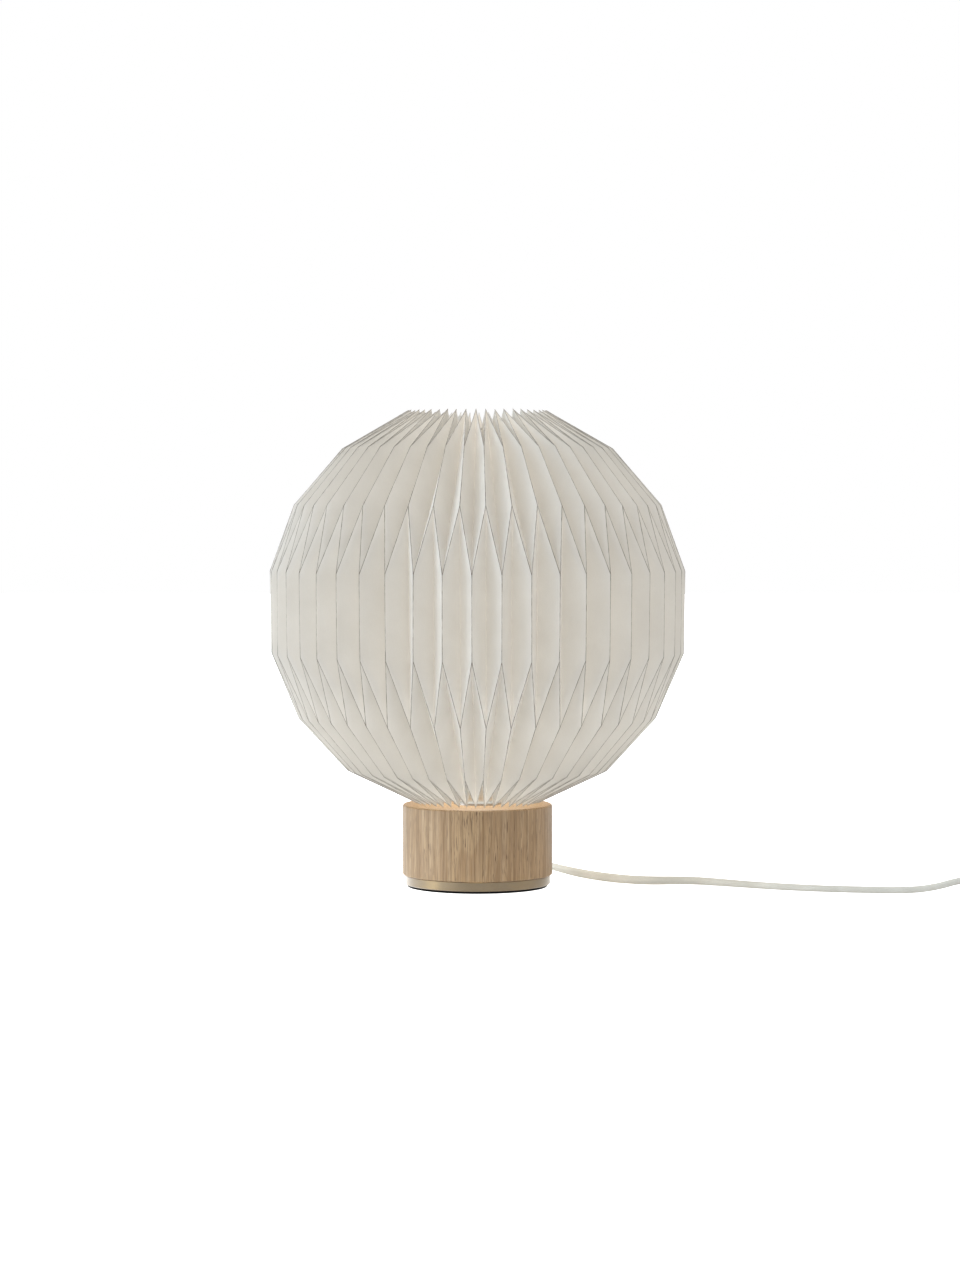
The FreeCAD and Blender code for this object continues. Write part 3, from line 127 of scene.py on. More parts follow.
coil_centre = Vector((0.355, 0.086, 0))
coil_inner_radius = 0.022
coil_pitch = 0.0058
coil_layer_pitch = 0.0057
coil_layer_turns = 3
coil_floor_gap = 0.0006
coil_points_per_turn = 24
plug_height = 0.00685


def coil_place(turns):
    """In on the floor, up a layer in half a turn where the spiral reverses, and out again."""
    climb_end = coil_layer_turns + 0.5
    low = flex_width / 2 + coil_floor_gap
    if turns <= coil_layer_turns:
        radius = coil_inner_radius + coil_pitch * (coil_layer_turns - turns)
        height = low
    elif turns < climb_end:
        along = (turns - coil_layer_turns) / 0.5
        radius = coil_inner_radius - coil_pitch / (2 * math.pi) * math.sin(math.pi * along)
        height = low + coil_layer_pitch * (1 - math.cos(math.pi * along)) / 2
    else:
        radius = coil_inner_radius + coil_pitch * (turns - climb_end)
        height = low + coil_layer_pitch
    angle = 2 * math.pi * turns
    return coil_centre + Vector((radius * math.cos(angle), radius * math.sin(angle), height))


coil_turns = 2 * coil_layer_turns + 0.5
coil_point_count = round(coil_turns * coil_points_per_turn)
coil_route = [tuple(coil_place(index / coil_points_per_turn)) for index in range(coil_point_count + 1)]
coil_exit_x = coil_route[-1][0]
plug_route = [
    (coil_exit_x, 0.0780, 0.0083),
    (coil_exit_x, 0.0700, 0.0072),
    (coil_exit_x, 0.0640, plug_height),
    (coil_exit_x, 0.0580, plug_height),
]


def smooth_line(name, points):
    """The points along a smooth NURBS line with these control points."""
    curve = bpy.data.curves.new(name, "CURVE")
    curve.dimensions = "3D"
    curve.resolution_u = route_steps
    spline = curve.splines.new("NURBS")
    spline.points.add(len(points) - 1)
    for control, place in zip(spline.points, points):
        control.co = (*place, 1.0)
    spline.order_u = route_order
    spline.use_endpoint_u = True
    line = bpy.data.objects.new(name, curve)
    followed = bpy.data.meshes.new_from_object(line)
    places = [vertex.co.copy() for vertex in followed.vertices]
    bpy.data.objects.remove(line)
    bpy.data.curves.remove(curve)
    bpy.data.meshes.remove(followed)
    return places


def add_piece(name, mesh):
    piece = bpy.data.objects.new(name, mesh)
    scene.collection.objects.link(piece)
    return piece


def smooth_faces(mesh):
    mesh.polygons.foreach_set("use_smooth", [True] * len(mesh.polygons))


def add_tubes(name, tubes):
    """A piece made of smooth tubes. Each is a line of rings that all have the same number of corners, and
    is either closed on itself or capped at both ends."""
    verts = []
    faces = []
    for rings, closed in tubes:
        start = len(verts)
        count = len(rings[0])
        for ring in rings:
            verts += ring
        for index in range(len(rings) if closed else len(rings) - 1):
            here = start + index * count
            there = start + (index + 1) % len(rings) * count
            for corner in range(count):
                beside = (corner + 1) % count
                faces.append((here + corner, there + corner, there + beside, here + beside))
        if not closed:
            faces.append(tuple(range(start, start + count)))
            faces.append(tuple(reversed(range(len(verts) - count, len(verts)))))
    mesh = bpy.data.meshes.new(name)
    mesh.from_pydata(verts, [], faces)
    mesh.validate()
    smooth_faces(mesh)
    return add_piece(name, mesh)


def flat_outline():
    """The flex's section: two rounded cores side by side under one ribbed sheath."""
    outline = []
    for index in range(flex_outline_points):
        angle = 2 * math.pi * index / flex_outline_points
        waist = 1 - flex_waist * math.cos(2 * angle) ** 4 * (abs(math.sin(angle)) > flex_waist_from)
        rib = flex_rib_depth * (0.5 + 0.5 * math.cos(flex_rib_count * angle))
        across = (flex_width / 2 - rib) * math.cos(angle)
        high = (flex_thickness / 2 - rib) * math.sin(angle) * waist
        squareness = 1 + flex_squareness * math.sin(2 * angle) ** 2
        outline.append((across * squareness, high * squareness))
    return outline


def flat_tube(name, path, turn_at):
    """A tube with the flex's section along a path. turn_at gives its turn about the path, by the length
    followed so far. Where that is 0 it lies flat."""
    up = Vector((0, 0, 1))
    outline = flat_outline()
    rings = []
    so_far = 0.0
    for index, place in enumerate(path):
        ahead = path[min(index + 1, len(path) - 1)]
        behind = path[max(index - 1, 0)]
        way = (ahead - behind).normalized()
        thin = (up - way * way.dot(up)).normalized()
        wide = way.cross(thin)
        so_far += (place - behind).length
        turn = turn_at(so_far)
        across_way = wide * math.cos(turn) + thin * math.sin(turn)
        high_way = thin * math.cos(turn) - wide * math.sin(turn)
        rings.append([place + across_way * across + high_way * high for across, high in outline])
    return add_tubes(name, [(rings, False)])


def eased(value, low, high):
    """0 below low, 1 above high, and a smooth step between."""
    share = min(max((value - low) / (high - low), 0.0), 1.0)
    return share * share * (3 - 2 * share)


def effect_group(name, inputs, outputs):
    """An empty shader node group with these named sockets, and its input and output nodes."""
    group = bpy.data.node_groups.new(name, "ShaderNodeTree")
    for label, kind, value in inputs:
        socket = group.interface.new_socket(label, in_out="INPUT", socket_type=kind)
        if value is not None:
            socket.default_value = value
    for label, kind in outputs:
        group.interface.new_socket(label, in_out="OUTPUT", socket_type=kind)
    entry = group.nodes.new("NodeGroupInput")
    leave = group.nodes.new("NodeGroupOutput")
    return group, entry, leave


def wire(tree, source, target):
    tree.links.new(source, target)


def math_node(tree, operation, first, second=None, third=None):
    """A Math node. Each value is a number or the socket that feeds it."""
    node = tree.nodes.new("ShaderNodeMath")
    node.operation = operation
    for index, value in enumerate((first, second, third)):
        if value is None:
            continue
        if isinstance(value, (int, float)):
            node.inputs[index].default_value = value
        else:
            wire(tree, value, node.inputs[index])
    return node.outputs[0]


def noise_node(tree, vector, scale, detail=3.0, roughness=0.5):
    """A soft noise. Its scale is a number or the socket that gives it."""
    node = tree.nodes.new("ShaderNodeTexNoise")
    if isinstance(scale, (int, float)):
        node.inputs["Scale"].default_value = scale
    else:
        wire(tree, scale, node.inputs["Scale"])
    node.inputs["Detail"].default_value = detail
    node.inputs["Roughness"].default_value = roughness
    wire(tree, vector, node.inputs["Vector"])
    return node.outputs["Fac"]


def spread(tree, value, low, high, to_low=0.0, to_high=1.0):
    """Maps low..high to to_low..to_high, and stops at both ends."""
    node = tree.nodes.new("ShaderNodeMapRange")
    node.interpolation_type = "SMOOTHSTEP"
    for label, number in (("From Min", low), ("From Max", high), ("To Min", to_low), ("To Max", to_high)):
        node.inputs[label].default_value = number
    wire(tree, value, node.inputs["Value"])
    return node.outputs["Result"]


def blended(tree, share, first, second):
    """A colour mix by a socket. Each colour is a triple or the socket that gives it."""
    node = tree.nodes.new("ShaderNodeMix")
    node.data_type = "RGBA"
    wire(tree, share, node.inputs[0])
    for socket, value in ((node.inputs[6], first), (node.inputs[7], second)):
        if isinstance(value, tuple):
            socket.default_value = (*value, 1.0)
        else:
            wire(tree, value, socket)
    return node.outputs[2]


def tint(tree, shader, tone, low, high, first, second):
    """Gives the shader a colour from first to second, as the tone goes from low to high."""
    colour = blended(tree, spread(tree, tone, low, high), first, second)
    wire(tree, colour, shader.inputs["Base Color"])


def new_finish(name, colour, roughness, metallic=0.0, specular=0.5):
    """A material with one Principled shader. Returns it with its tree, shader and object coordinates."""
    material = bpy.data.materials.new(name)
    material.use_nodes = True
    tree = material.node_tree
    shader = tree.nodes["Principled BSDF"]
    shader.inputs["Base Color"].default_value = (*colour, 1.0)
    shader.inputs["Roughness"].default_value = roughness
    shader.inputs["Metallic"].default_value = metallic
    shader.inputs["Specular IOR Level"].default_value = specular
    material.diffuse_color = (*colour, 1.0)
    places = tree.nodes.new("ShaderNodeTexCoord").outputs["Object"]
    return material, tree, shader, places


def raise_surface(tree, shader, height, distance, strength):
    """Feeds a height through a Bump node to the shader's normal, and returns that normal."""
    bump = tree.nodes.new("ShaderNodeBump")
    bump.inputs["Strength"].default_value = strength
    bump.inputs["Distance"].default_value = distance
    wire(tree, height, bump.inputs["Height"])
    wire(tree, bump.outputs["Normal"], shader.inputs["Normal"])
    return bump.outputs["Normal"]


# Uneven tone: a slow cloud and a fine speckle together, as on moulded, woven and sawn surfaces alike
mottle, mottle_in, mottle_out = effect_group(
    "uneven_tone",
    [
        ("Places", "NodeSocketVector", None),
        ("Cloud Scale", "NodeSocketFloat", 40.0),
        ("Speckle Scale", "NodeSocketFloat", 900.0),
        ("Speckle Share", "NodeSocketFloat", 0.5),
    ],
    [("Tone", "NodeSocketFloat"), ("Speckle", "NodeSocketFloat")],
)
cloud = noise_node(mottle, mottle_in.outputs["Places"], mottle_in.outputs["Cloud Scale"], 3.0)
speckle = noise_node(mottle, mottle_in.outputs["Places"], mottle_in.outputs["Speckle Scale"], 2.0, 0.6)
speckle_part = math_node(mottle, "MULTIPLY", speckle, mottle_in.outputs["Speckle Share"])
cloud_share = math_node(mottle, "SUBTRACT", 1.0, mottle_in.outputs["Speckle Share"])
cloud_part = math_node(mottle, "MULTIPLY", cloud, cloud_share)
wire(mottle, math_node(mottle, "ADD", speckle_part, cloud_part), mottle_out.inputs["Tone"])
wire(mottle, speckle, mottle_out.inputs["Speckle"])


def add_mottle(tree, places, cloud_scale, speckle_scale, speckle_share=0.5):
    node = tree.nodes.new("ShaderNodeGroup")
    node.node_tree = mottle
    wire(tree, places, node.inputs["Places"])
    node.inputs["Cloud Scale"].default_value = cloud_scale
    node.inputs["Speckle Scale"].default_value = speckle_scale
    node.inputs["Speckle Share"].default_value = speckle_share
    return node.outputs["Tone"], node.outputs["Speckle"]


def make_sheath_finish():
    material, tree, shader, places = new_finish("flex_sheath", (0.56, 0.53, 0.455), 0.62, specular=0.35)
    tone, grain = add_mottle(tree, places, 60.0, 2600.0, 0.45)
    tint(tree, shader, tone, 0.35, 0.68, (0.695, 0.675, 0.605), (0.800, 0.780, 0.710))
    wire(tree, spread(tree, tone, 0.3, 0.7, 0.55, 0.72), shader.inputs["Roughness"])
    raise_surface(tree, shader, grain, 0.00008, 0.5)
    return material


sheath_finish = make_sheath_finish()

lead_turn_start = 0.015
lead_turn_end = 0.300
lead_path = smooth_line("lead_route", lead_route)
lead = flat_tube(
    "power_cord_flex",
    lead_path,
    lambda length: math.pi * eased(length, lead_turn_start, lead_turn_end),
)
lead.data.materials.append(sheath_finish)
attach(lead, "lamp")
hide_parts("power_cord")

link_turn_start = 0.02
link_turn_end = 0.15
tail_path = smooth_line("tail_route", link_route + coil_route + plug_route)
tail_followed = sum((after - before).length for before, after in zip(tail_path, tail_path[1:]))
plug_turn_start = tail_followed - 0.06
plug_turn_end = tail_followed - 0.01


def tail_turn(length):
    """Flat at the switch, on edge all through the coil, and flat again at the plug."""
    on_edge = eased(length, link_turn_start, link_turn_end) - eased(length, plug_turn_start, plug_turn_end)
    return math.pi / 2 * on_edge


tail = flat_tube("power_cord_coil", tail_path, tail_turn)
tail.data.materials.append(sheath_finish)
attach(tail, "lamp")
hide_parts("power_cord_link", "cord_coil")


# ---- Foot, disc and oak block ----
# The block is turned from one piece of oak with its grain upright, sanded fine and left almost matt. The
# disc under it is plated steel with a satin champagne lacquer, and the foot is a die-cut pad of black
# foam. Three zinc-plated screws hold the disc up to the wood.
def put_finish(material, *nodes):
    for node in nodes:
        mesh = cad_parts[node].data
        mesh.materials.clear()
        mesh.materials.append(material)


def make_foam_finish():
    material, tree, shader, places = new_finish("foot_foam", (0.005, 0.005, 0.005), 0.95, specular=0.05)
    tone, cells = add_mottle(tree, places, 120.0, 3200.0, 0.7)
    tint(tree, shader, tone, 0.35, 0.7, (0.003, 0.003, 0.003), (0.010, 0.010, 0.010))
    raise_surface(tree, shader, cells, 0.0002, 0.8)
    return material


def stretched(tree, vector, stretch):
    """Coordinates multiplied by a triple."""
    node = tree.nodes.new("ShaderNodeVectorMath")
    node.operation = "MULTIPLY"
    wire(tree, vector, node.inputs[0])
    node.inputs[1].default_value = stretch
    return node.outputs[0]


def split_up(tree, places):
    """The X, Y and Z sockets of some coordinates."""
    node = tree.nodes.new("ShaderNodeSeparateXYZ")
    wire(tree, places, node.inputs[0])
    return node.outputs


def distance_node(tree, across, deep):
    """How far a place is from an upright axis, by its two distances from it."""
    squares = [math_node(tree, "MULTIPLY", side, side) for side in (across, deep)]
    return math_node(tree, "SQRT", math_node(tree, "ADD", *squares))


# Turned lines: fine rings round the lathe's axis, on a rim as on a face
turning, turning_in, turning_out = effect_group(
    "turned_lines",
    [("Places", "NodeSocketVector", None), ("Lines Per Metre", "NodeSocketFloat", 4000.0)],
    [("Lines", "NodeSocketFloat")],
)
turned_parts = split_up(turning, turning_in.outputs["Places"])
turned_radius = distance_node(turning, turned_parts[0], turned_parts[1])
turned_places = turning.nodes.new("ShaderNodeCombineXYZ")
turned_lines = turning_in.outputs["Lines Per Metre"]
wire(turning, math_node(turning, "MULTIPLY", turned_radius, turned_lines), turned_places.inputs[0])
wire(turning, math_node(turning, "MULTIPLY", turned_parts[2], turned_lines), turned_places.inputs[2])
wire(turning, noise_node(turning, turned_places.outputs[0], 1.0, 2.0, 0.6), turning_out.inputs["Lines"])


def add_turning(tree, places, lines_per_metre):
    node = tree.nodes.new("ShaderNodeGroup")
    node.node_tree = turning
    wire(tree, places, node.inputs["Places"])
    node.inputs["Lines Per Metre"].default_value = lines_per_metre
    return node.outputs["Lines"]


def make_champagne_finish():
    material, tree, shader, places = new_finish("champagne_lacquer", (0.27, 0.19, 0.115), 0.36, 0.9)
    shader.inputs["Coat Weight"].default_value = 1.0
    shader.inputs["Coat Roughness"].default_value = 0.20
    shader.inputs["Coat IOR"].default_value = 1.9
    shader.inputs["Anisotropic"].default_value = 0.9
    shader.inputs["Anisotropic Rotation"].default_value = 0.25
    round_way = tree.nodes.new("ShaderNodeTangent")
    round_way.direction_type = "RADIAL"
    round_way.axis = "Z"
    wire(tree, round_way.outputs[0], shader.inputs["Tangent"])
    lines = add_turning(tree, places, 5200.0)
    tone, _ = add_mottle(tree, places, 90.0, 1800.0, 0.3)
    tint(tree, shader, tone, 0.3, 0.7, (0.158, 0.098, 0.026), (0.178, 0.114, 0.034))
    wire(tree, spread(tree, lines, 0.2, 0.8, 0.28, 0.35), shader.inputs["Roughness"])
    raise_surface(tree, shader, lines, 0.00002, 0.5)
    return material


def make_oak_finish():
    """Upright grain: wavering growth rings round a heart far outside the block, short dark pores that lie
    thick in the early wood, and a hair-fine fibre over everything."""
    material, tree, shader, places = new_finish("oiled_oak", (0.42, 0.285, 0.175), 0.52, specular=0.6)
    heart_x, heart_y = 0.052, 0.096
    ring_spacing = 0.0031
    grain_lean = 0.03
    sway_reach = 0.015
    ripple_reach = 0.0026
    sway = noise_node(tree, stretched(tree, places, (18.0, 18.0, 3.0)), 1.0, 3.0, 0.5)
    ripple = noise_node(tree, stretched(tree, places, (70.0, 70.0, 9.0)), 1.0, 2.0, 0.5)
    x, y, z = split_up(tree, places)
    from_heart = [math_node(tree, "SUBTRACT", place, heart) for place, heart in ((x, heart_x), (y, heart_y))]
    radius = distance_node(tree, *from_heart)
    lean = math_node(tree, "MULTIPLY", z, grain_lean)
    swayed = math_node(tree, "MULTIPLY_ADD", sway, sway_reach, math_node(tree, "ADD", radius, lean))
    rippled = math_node(tree, "MULTIPLY_ADD", ripple, ripple_reach, swayed)
    year = math_node(tree, "FRACT", math_node(tree, "DIVIDE", rippled, ring_spacing))
    late_wood = spread(tree, year, 0.25, 0.92)
    late_end = spread(tree, year, 0.93, 1.0, 1.0, 0.0)
    late_share = math_node(tree, "MULTIPLY", late_wood, late_end)
    band = noise_node(tree, stretched(tree, places, (60.0, 60.0, 5.0)), 1.0, 4.0, 0.55)
    fibre = noise_node(tree, stretched(tree, places, (2600.0, 2600.0, 60.0)), 1.0, 2.0, 0.6)
    streak = noise_node(tree, stretched(tree, places, (760.0, 760.0, 17.0)), 1.0, 3.0, 0.6)
    pore_cells = noise_node(tree, stretched(tree, places, (1700.0, 1700.0, 130.0)), 1.0, 1.0, 0.5)
    pores = math_node(
        tree,
        "MULTIPLY",
        spread(tree, pore_cells, 0.60, 0.70),
        spread(tree, year, 0.05, 0.75, 1.0, 0.25),
    )
    pale = noise_node(tree, stretched(tree, places, (420.0, 420.0, 10.0)), 1.0, 2.0, 0.5)
    fine_streak = noise_node(tree, stretched(tree, places, (1700.0, 1700.0, 70.0)), 1.0, 2.0, 0.6)
    wood = blended(tree, late_share, (0.470, 0.311, 0.160), (0.370, 0.227, 0.106))
    wood = blended(tree, spread(tree, band, 0.38, 0.66, 0.0, 0.50), wood, (0.318, 0.192, 0.091))
    wood = blended(tree, spread(tree, pale, 0.50, 0.70, 0.0, 0.35), wood, (0.570, 0.425, 0.268))
    wood = blended(tree, spread(tree, streak, 0.49, 0.64, 0.0, 0.66), wood, (0.225, 0.128, 0.056))
    wood = blended(tree, spread(tree, fine_streak, 0.49, 0.63, 0.0, 0.62), wood, (0.235, 0.136, 0.063))
    wood = blended(tree, spread(tree, fibre, 0.35, 0.75, 0.0, 0.20), wood, (0.56, 0.42, 0.27))
    wood = blended(tree, math_node(tree, "MULTIPLY", pores, 0.85), wood, (0.105, 0.057, 0.026))
    wire(tree, wood, shader.inputs["Base Color"])
    wire(tree, spread(tree, streak, 0.3, 0.7, 0.38, 0.54), shader.inputs["Roughness"])
    grain_height = math_node(tree, "MULTIPLY_ADD", pores, -0.8, math_node(tree, "MULTIPLY", fibre, 0.5))
    raise_surface(tree, shader, grain_height, 0.00008, 0.6)
    return material


def make_plated_finish(name, colour, roughness):
    """Bright plated or stamped metal, with faint drawing marks and duller clouds."""
    material, tree, shader, places = new_finish(name, colour, roughness, 1.0)
    marks = noise_node(tree, stretched(tree, places, (1.0, 1.0, 0.12)), 700.0, 3.0, 0.65)
    tone, _ = add_mottle(tree, places, 180.0, 2400.0, 0.4)
    dull = tuple(0.78 * part for part in colour)
    tint(tree, shader, tone, 0.35, 0.65, dull, colour)
    rough_tone = spread(tree, tone, 0.3, 0.7, roughness + 0.12, max(roughness - 0.06, 0.05))
    wire(tree, rough_tone, shader.inputs["Roughness"])
    raise_surface(tree, shader, marks, 0.00002, 0.5)
    return material


zinc_finish = make_plated_finish("zinc_plate", (0.56, 0.57, 0.57), 0.30)
put_finish(make_foam_finish(), "foot_pad")
put_finish(make_champagne_finish(), "base_plate")
put_finish(make_oak_finish(), "oak_base")
put_finish(zinc_finish, "base_plate_screws")


# ---- Flex entry, clamp and wires in the base ----
# The strain relief is a soft moulded sleeve in the wood. Behind it a two-part saddle grips the sheath and
# is screwed to the steel disc. The flex runs on through the nipple, where its brown and blue conductors
# come out of the sheath and go to the terminals.
def make_moulded_finish(name, colour, roughness, grain=0.00003):
    """Moulded plastic or ceramic: a slow change of tone, a fine spark-eroded grain and soft gloss."""
    material, tree, shader, places = new_finish(name, colour, roughness)
    tone, sparked = add_mottle(tree, places, 70.0, 2800.0, 0.35)
    shaded = tuple(0.90 * part for part in colour)
    tint(tree, shader, tone, 0.35, 0.65, shaded, colour)
    gloss = spread(tree, tone, 0.3, 0.7, roughness + 0.05, max(roughness - 0.04, 0.04))
    wire(tree, gloss, shader.inputs["Roughness"])
    raise_surface(tree, shader, sparked, grain, 0.6)
    return material


clamp_finish = make_moulded_finish("clamp_plastic", (0.62, 0.59, 0.53), 0.42)
live_finish = make_moulded_finish("live_insulation", (0.105, 0.040, 0.016), 0.30, 0.00001)
neutral_finish = make_moulded_finish("neutral_insulation", (0.014, 0.060, 0.33), 0.30, 0.00001)
put_finish(make_moulded_finish("relief_plastic", (0.55, 0.51, 0.44), 0.55), "cord_strain_relief")
put_finish(clamp_finish, "cord_clamp_lower", "cord_clamp_upper", "switch_cord_clamps")
put_finish(zinc_finish, "cord_clamp_screws", "switch_screws", "switch_axle")
put_finish(live_finish, "live_conductor", "switch_live_wires")
put_finish(neutral_finish, "neutral_conductor", "switch_neutral_wire")
put_finish(sheath_finish, "flex_in_base", "switch_flex_ends")


# ---- Nipple and washers ----
# An M10 steel tube, a nut and washer in the pocket under the wood and a wide seat washer on top of it
# hold the lampholder to the block.
put_finish(zinc_finish, "threaded_nipple", "nipple_nut", "nipple_washer", "seat_washer")


# ---- Lampholder ----
# A small screw lampholder in white thermoplastic. Inside is a ceramic block with brass terminals, a
# brass screw shell and a sprung centre contact. A screwed ring on its skirt holds the shade's carrier.
holder_finish = make_moulded_finish("holder_plastic", (0.76, 0.75, 0.71), 0.30)
brass_finish = make_plated_finish("contact_brass", (0.62, 0.42, 0.15), 0.28)
put_finish(holder_finish, "lampholder_cap", "lampholder_skirt", "shade_ring")
put_finish(make_moulded_finish("block_ceramic", (0.72, 0.69, 0.62), 0.36, 0.00004), "terminal_block")
put_finish(
    brass_finish,
    "terminal_screws",
    "lampholder_screw_shell",
    "centre_contact",
    "switch_terminals",
    "switch_contact_bridge",
)


# ---- Shade carrier ----
# Three arms and a ring of steel wire, powder-coated white, run from a hub under the shade ring out to the
# inner folds at the bottom of the shade.
put_finish(make_moulded_finish("carrier_coat", (0.76, 0.75, 0.72), 0.38, 0.00006), "shade_carrier")


# ---- Pleated paper shade ----
# Heavy off-white paper, creased by machine into 46 pleats whose outer folds step from one rank of ridges
# to the next, B and A by turns, so that the flat sheet closes into a globe. Between folds the paper stays
# a little full. It is four sheets glued edge to edge behind outer folds, shown here as one.
pleat_count = 46
fold_turn = math.radians(-1.358)
paper_thickness = 0.00026
crown_to_neck = 0.232
shade_foot_z = 0.0497
neck_radius = 0.0369
neck_to_belly = 0.0861
# The corners on each fold, by rank: how far out from the neck, and how far up from the lower edge
ring_shares = {
    "B1": (0.048, 1.0),
    "A_top": (0.014, 0.931),
    "A1": (0.503, 0.904),
    "A2": (0.835, 0.760),
    "B2": (1.0, 0.593),
    "B3": (0.994, 0.384),
    "A3": (0.805, 0.219),
    "A4": (0.472, 0.0845),
    "A_bot": (-0.021, 0.068),
    "B4": (0.0, 0.0),
}
# Each facet of a panel: its B side from top to bottom, its A side, its rows, and whether its top, bottom
# and sides end on an outer fold
facets = [
    (("B1", "B1"), ("A_top", "A1"), 4, (False, True, "none")),
    (("B1", "B2"), ("A1", "A2"), 7, (True, True, "A")),
    (("B2", "B3"), ("A2", "A3"), 7, (True, True, "B")),
    (("B3", "B4"), ("A3", "A4"), 7, (True, True, "A")),
    (("B4", "B4"), ("A4", "A_bot"), 4, (True, False, "none")),
]
panel_steps = (0.0, 0.0105, 0.0235, 0.038, 0.11, 0.30, 0.5, 0.70, 0.89, 0.962, 0.9765, 0.9895, 1.0)
fold_radius = 0.00035
fold_reach = math.sqrt(3) * fold_radius
far_from_fold = 0.05
paper_lets_through = 0.50
# Strength of the painted glow that stands in for light bounced between the pleats
painted_bounce_glow = 0.14
fullness = 0.00020
fullness_spread = 0.00018
fullness_rise = 0.30
lean_spread = 0.25
narrow_panel = 0.012
node_jitter = 0.00022
merge_scale = 1e7
crease_angle = math.radians(50)
line_least = 0.00040
line_waver = 0.00022
low_neck_heights = (0.056, 0.100)
high_neck_heights = (0.232, 0.276)
neck_line_share = 0.55

paper_random = random.Random(46)


def fold_point(label, half_pitches):
    """A ring's point on a fold. Even half pitches are B folds and odd ones are A folds."""
    out, up = ring_shares[label]
    radius = neck_radius + out * neck_to_belly
    angle = fold_turn + math.pi / pleat_count * half_pitches
    return Vector((radius * math.sin(angle), -radius * math.cos(angle), shade_foot_z + up * crown_to_neck))


def line_distance(place, start, end):
    way = (end - start).normalized()
    return (place - start - way * way.dot(place - start)).length


fold_nodes = {}
for label in ring_shares:
    for pleat in range(pleat_count):
        half_pitches = 2 * pleat + (0 if label.startswith("B") else 1)
        nudge = Vector([paper_random.uniform(-node_jitter, node_jitter) for _ in range(3)])
        fold_nodes[label, half_pitches] = fold_point(label, half_pitches) + nudge


def row_shares(rows, length, crease_above, crease_below):
    """Row places down a facet of this length, with two more where the paper rounds over each crease."""
    shares = [index / rows for index in range(rows + 1)]
    rounding = [fold_reach * 0.5 / length, fold_reach / length]
    if crease_above:
        shares += rounding
    if crease_below:
        shares += [1 - share for share in rounding]
    return sorted(shares)


def rounded_fold(place, distance):
    """An outer fold isn't knife-sharp: near it the paper lies on a small circle, nearer the lamp's axis."""
    if distance >= fold_reach:
        return place
    part = distance / (2 * fold_radius)
    drop = fold_radius * (2 - math.sqrt(1 - part * part) - math.sqrt(3) * part)
    outward = Vector((place.x, place.y, 0)).normalized()
    return place - outward * drop


shade_verts = []
shade_vert_at = {}
shade_faces = []
shade_creases = []


def shade_vertex(place):
    key = tuple(round(part * merge_scale) for part in place)
    if key not in shade_vert_at:
        shade_vert_at[key] = len(shade_verts)
        shade_verts.append(place)
    return shade_vert_at[key]


for panel in range(2 * pleat_count):
    b_fold = (panel if panel % 2 == 0 else panel + 1) % (2 * pleat_count)
    a_fold = panel + 1 if panel % 2 == 0 else panel
    for b_ends, a_ends, rows, (above, below, side) in facets:
        b_top, b_bottom = (fold_nodes[label, b_fold] for label in b_ends)
        a_top, a_bottom = (fold_nodes[label, a_fold] for label in a_ends)
        out_way = ((a_top - b_bottom).cross(a_bottom - b_top)).normalized()
        middle = (b_top + b_bottom + a_top + a_bottom) / 4
        if out_way.dot(Vector((middle.x, middle.y, 0))) < 0:
            out_way.negate()
        bow = fullness + paper_random.uniform(-fullness_spread, fullness_spread)
        lean = paper_random.uniform(-lean_spread, lean_spread)
        facet_length = 0.5 * ((b_top - b_bottom).length + (a_top - a_bottom).length)
        shares = row_shares(rows, facet_length, above, below)
        grid = []
        for down in shares:
            b_place = b_top.lerp(b_bottom, down)
            a_place = a_top.lerp(a_bottom, down)
            rise_above = eased(down, 0.0, fullness_rise) if above else 1.0
            rise_below = eased(1 - down, 0.0, fullness_rise) if below else 1.0
            full = bow * rise_above * rise_below
            line = []
            for across in panel_steps:
                place = b_place.lerp(a_place, across)
                crown = 4 * across * (1 - across) * (1 + lean * (2 * across - 1))
                spare = min(1.0, (a_place - b_place).length / narrow_panel)
                creases = (
                    line_distance(place, b_top, a_top) if above else far_from_fold,
                    line_distance(place, b_bottom, a_bottom) if below else far_from_fold,
                    {
                        "A": line_distance(place, a_top, a_bottom),
                        "B": line_distance(place, b_top, b_bottom) if side == "B" else far_from_fold,
                        "none": far_from_fold,
                    }[side],
                )
                filled = rounded_fold(place, min(creases)) + out_way * (full * crown * spare)
                line.append((shade_vertex(filled), creases))
            grid.append(line)
        for upper, lower in zip(grid, grid[1:]):
            for index in range(len(panel_steps) - 1):
                corners = [upper[index], lower[index], lower[index + 1], upper[index + 1]]
                kept = []
                for corner in corners:
                    if corner[0] not in [other[0] for other in kept]:
                        kept.append(corner)
                if len(kept) < 3:
                    continue
                if panel % 2:
                    kept.reverse()
                shade_faces.append([corner[0] for corner in kept])
                shade_creases += [corner[1] for corner in kept]

shade_mesh = bpy.data.meshes.new("paper_shade")
shade_mesh.from_pydata(shade_verts, [], shade_faces)
crease_layer = shade_mesh.attributes.new("to_folds", "FLOAT_VECTOR", "CORNER")
crease_layer.data.foreach_set("vector", [part for creases in shade_creases for part in creases])
smooth_faces(shade_mesh)
shade_mesh.set_sharp_from_angle(angle=crease_angle)
shade = add_piece("paper_shade", shade_mesh)
thickness = shade.modifiers.new("paper_thickness", "SOLIDIFY")
thickness.thickness = paper_thickness
thickness.offset = -1.0
thickness.use_even_offset = False


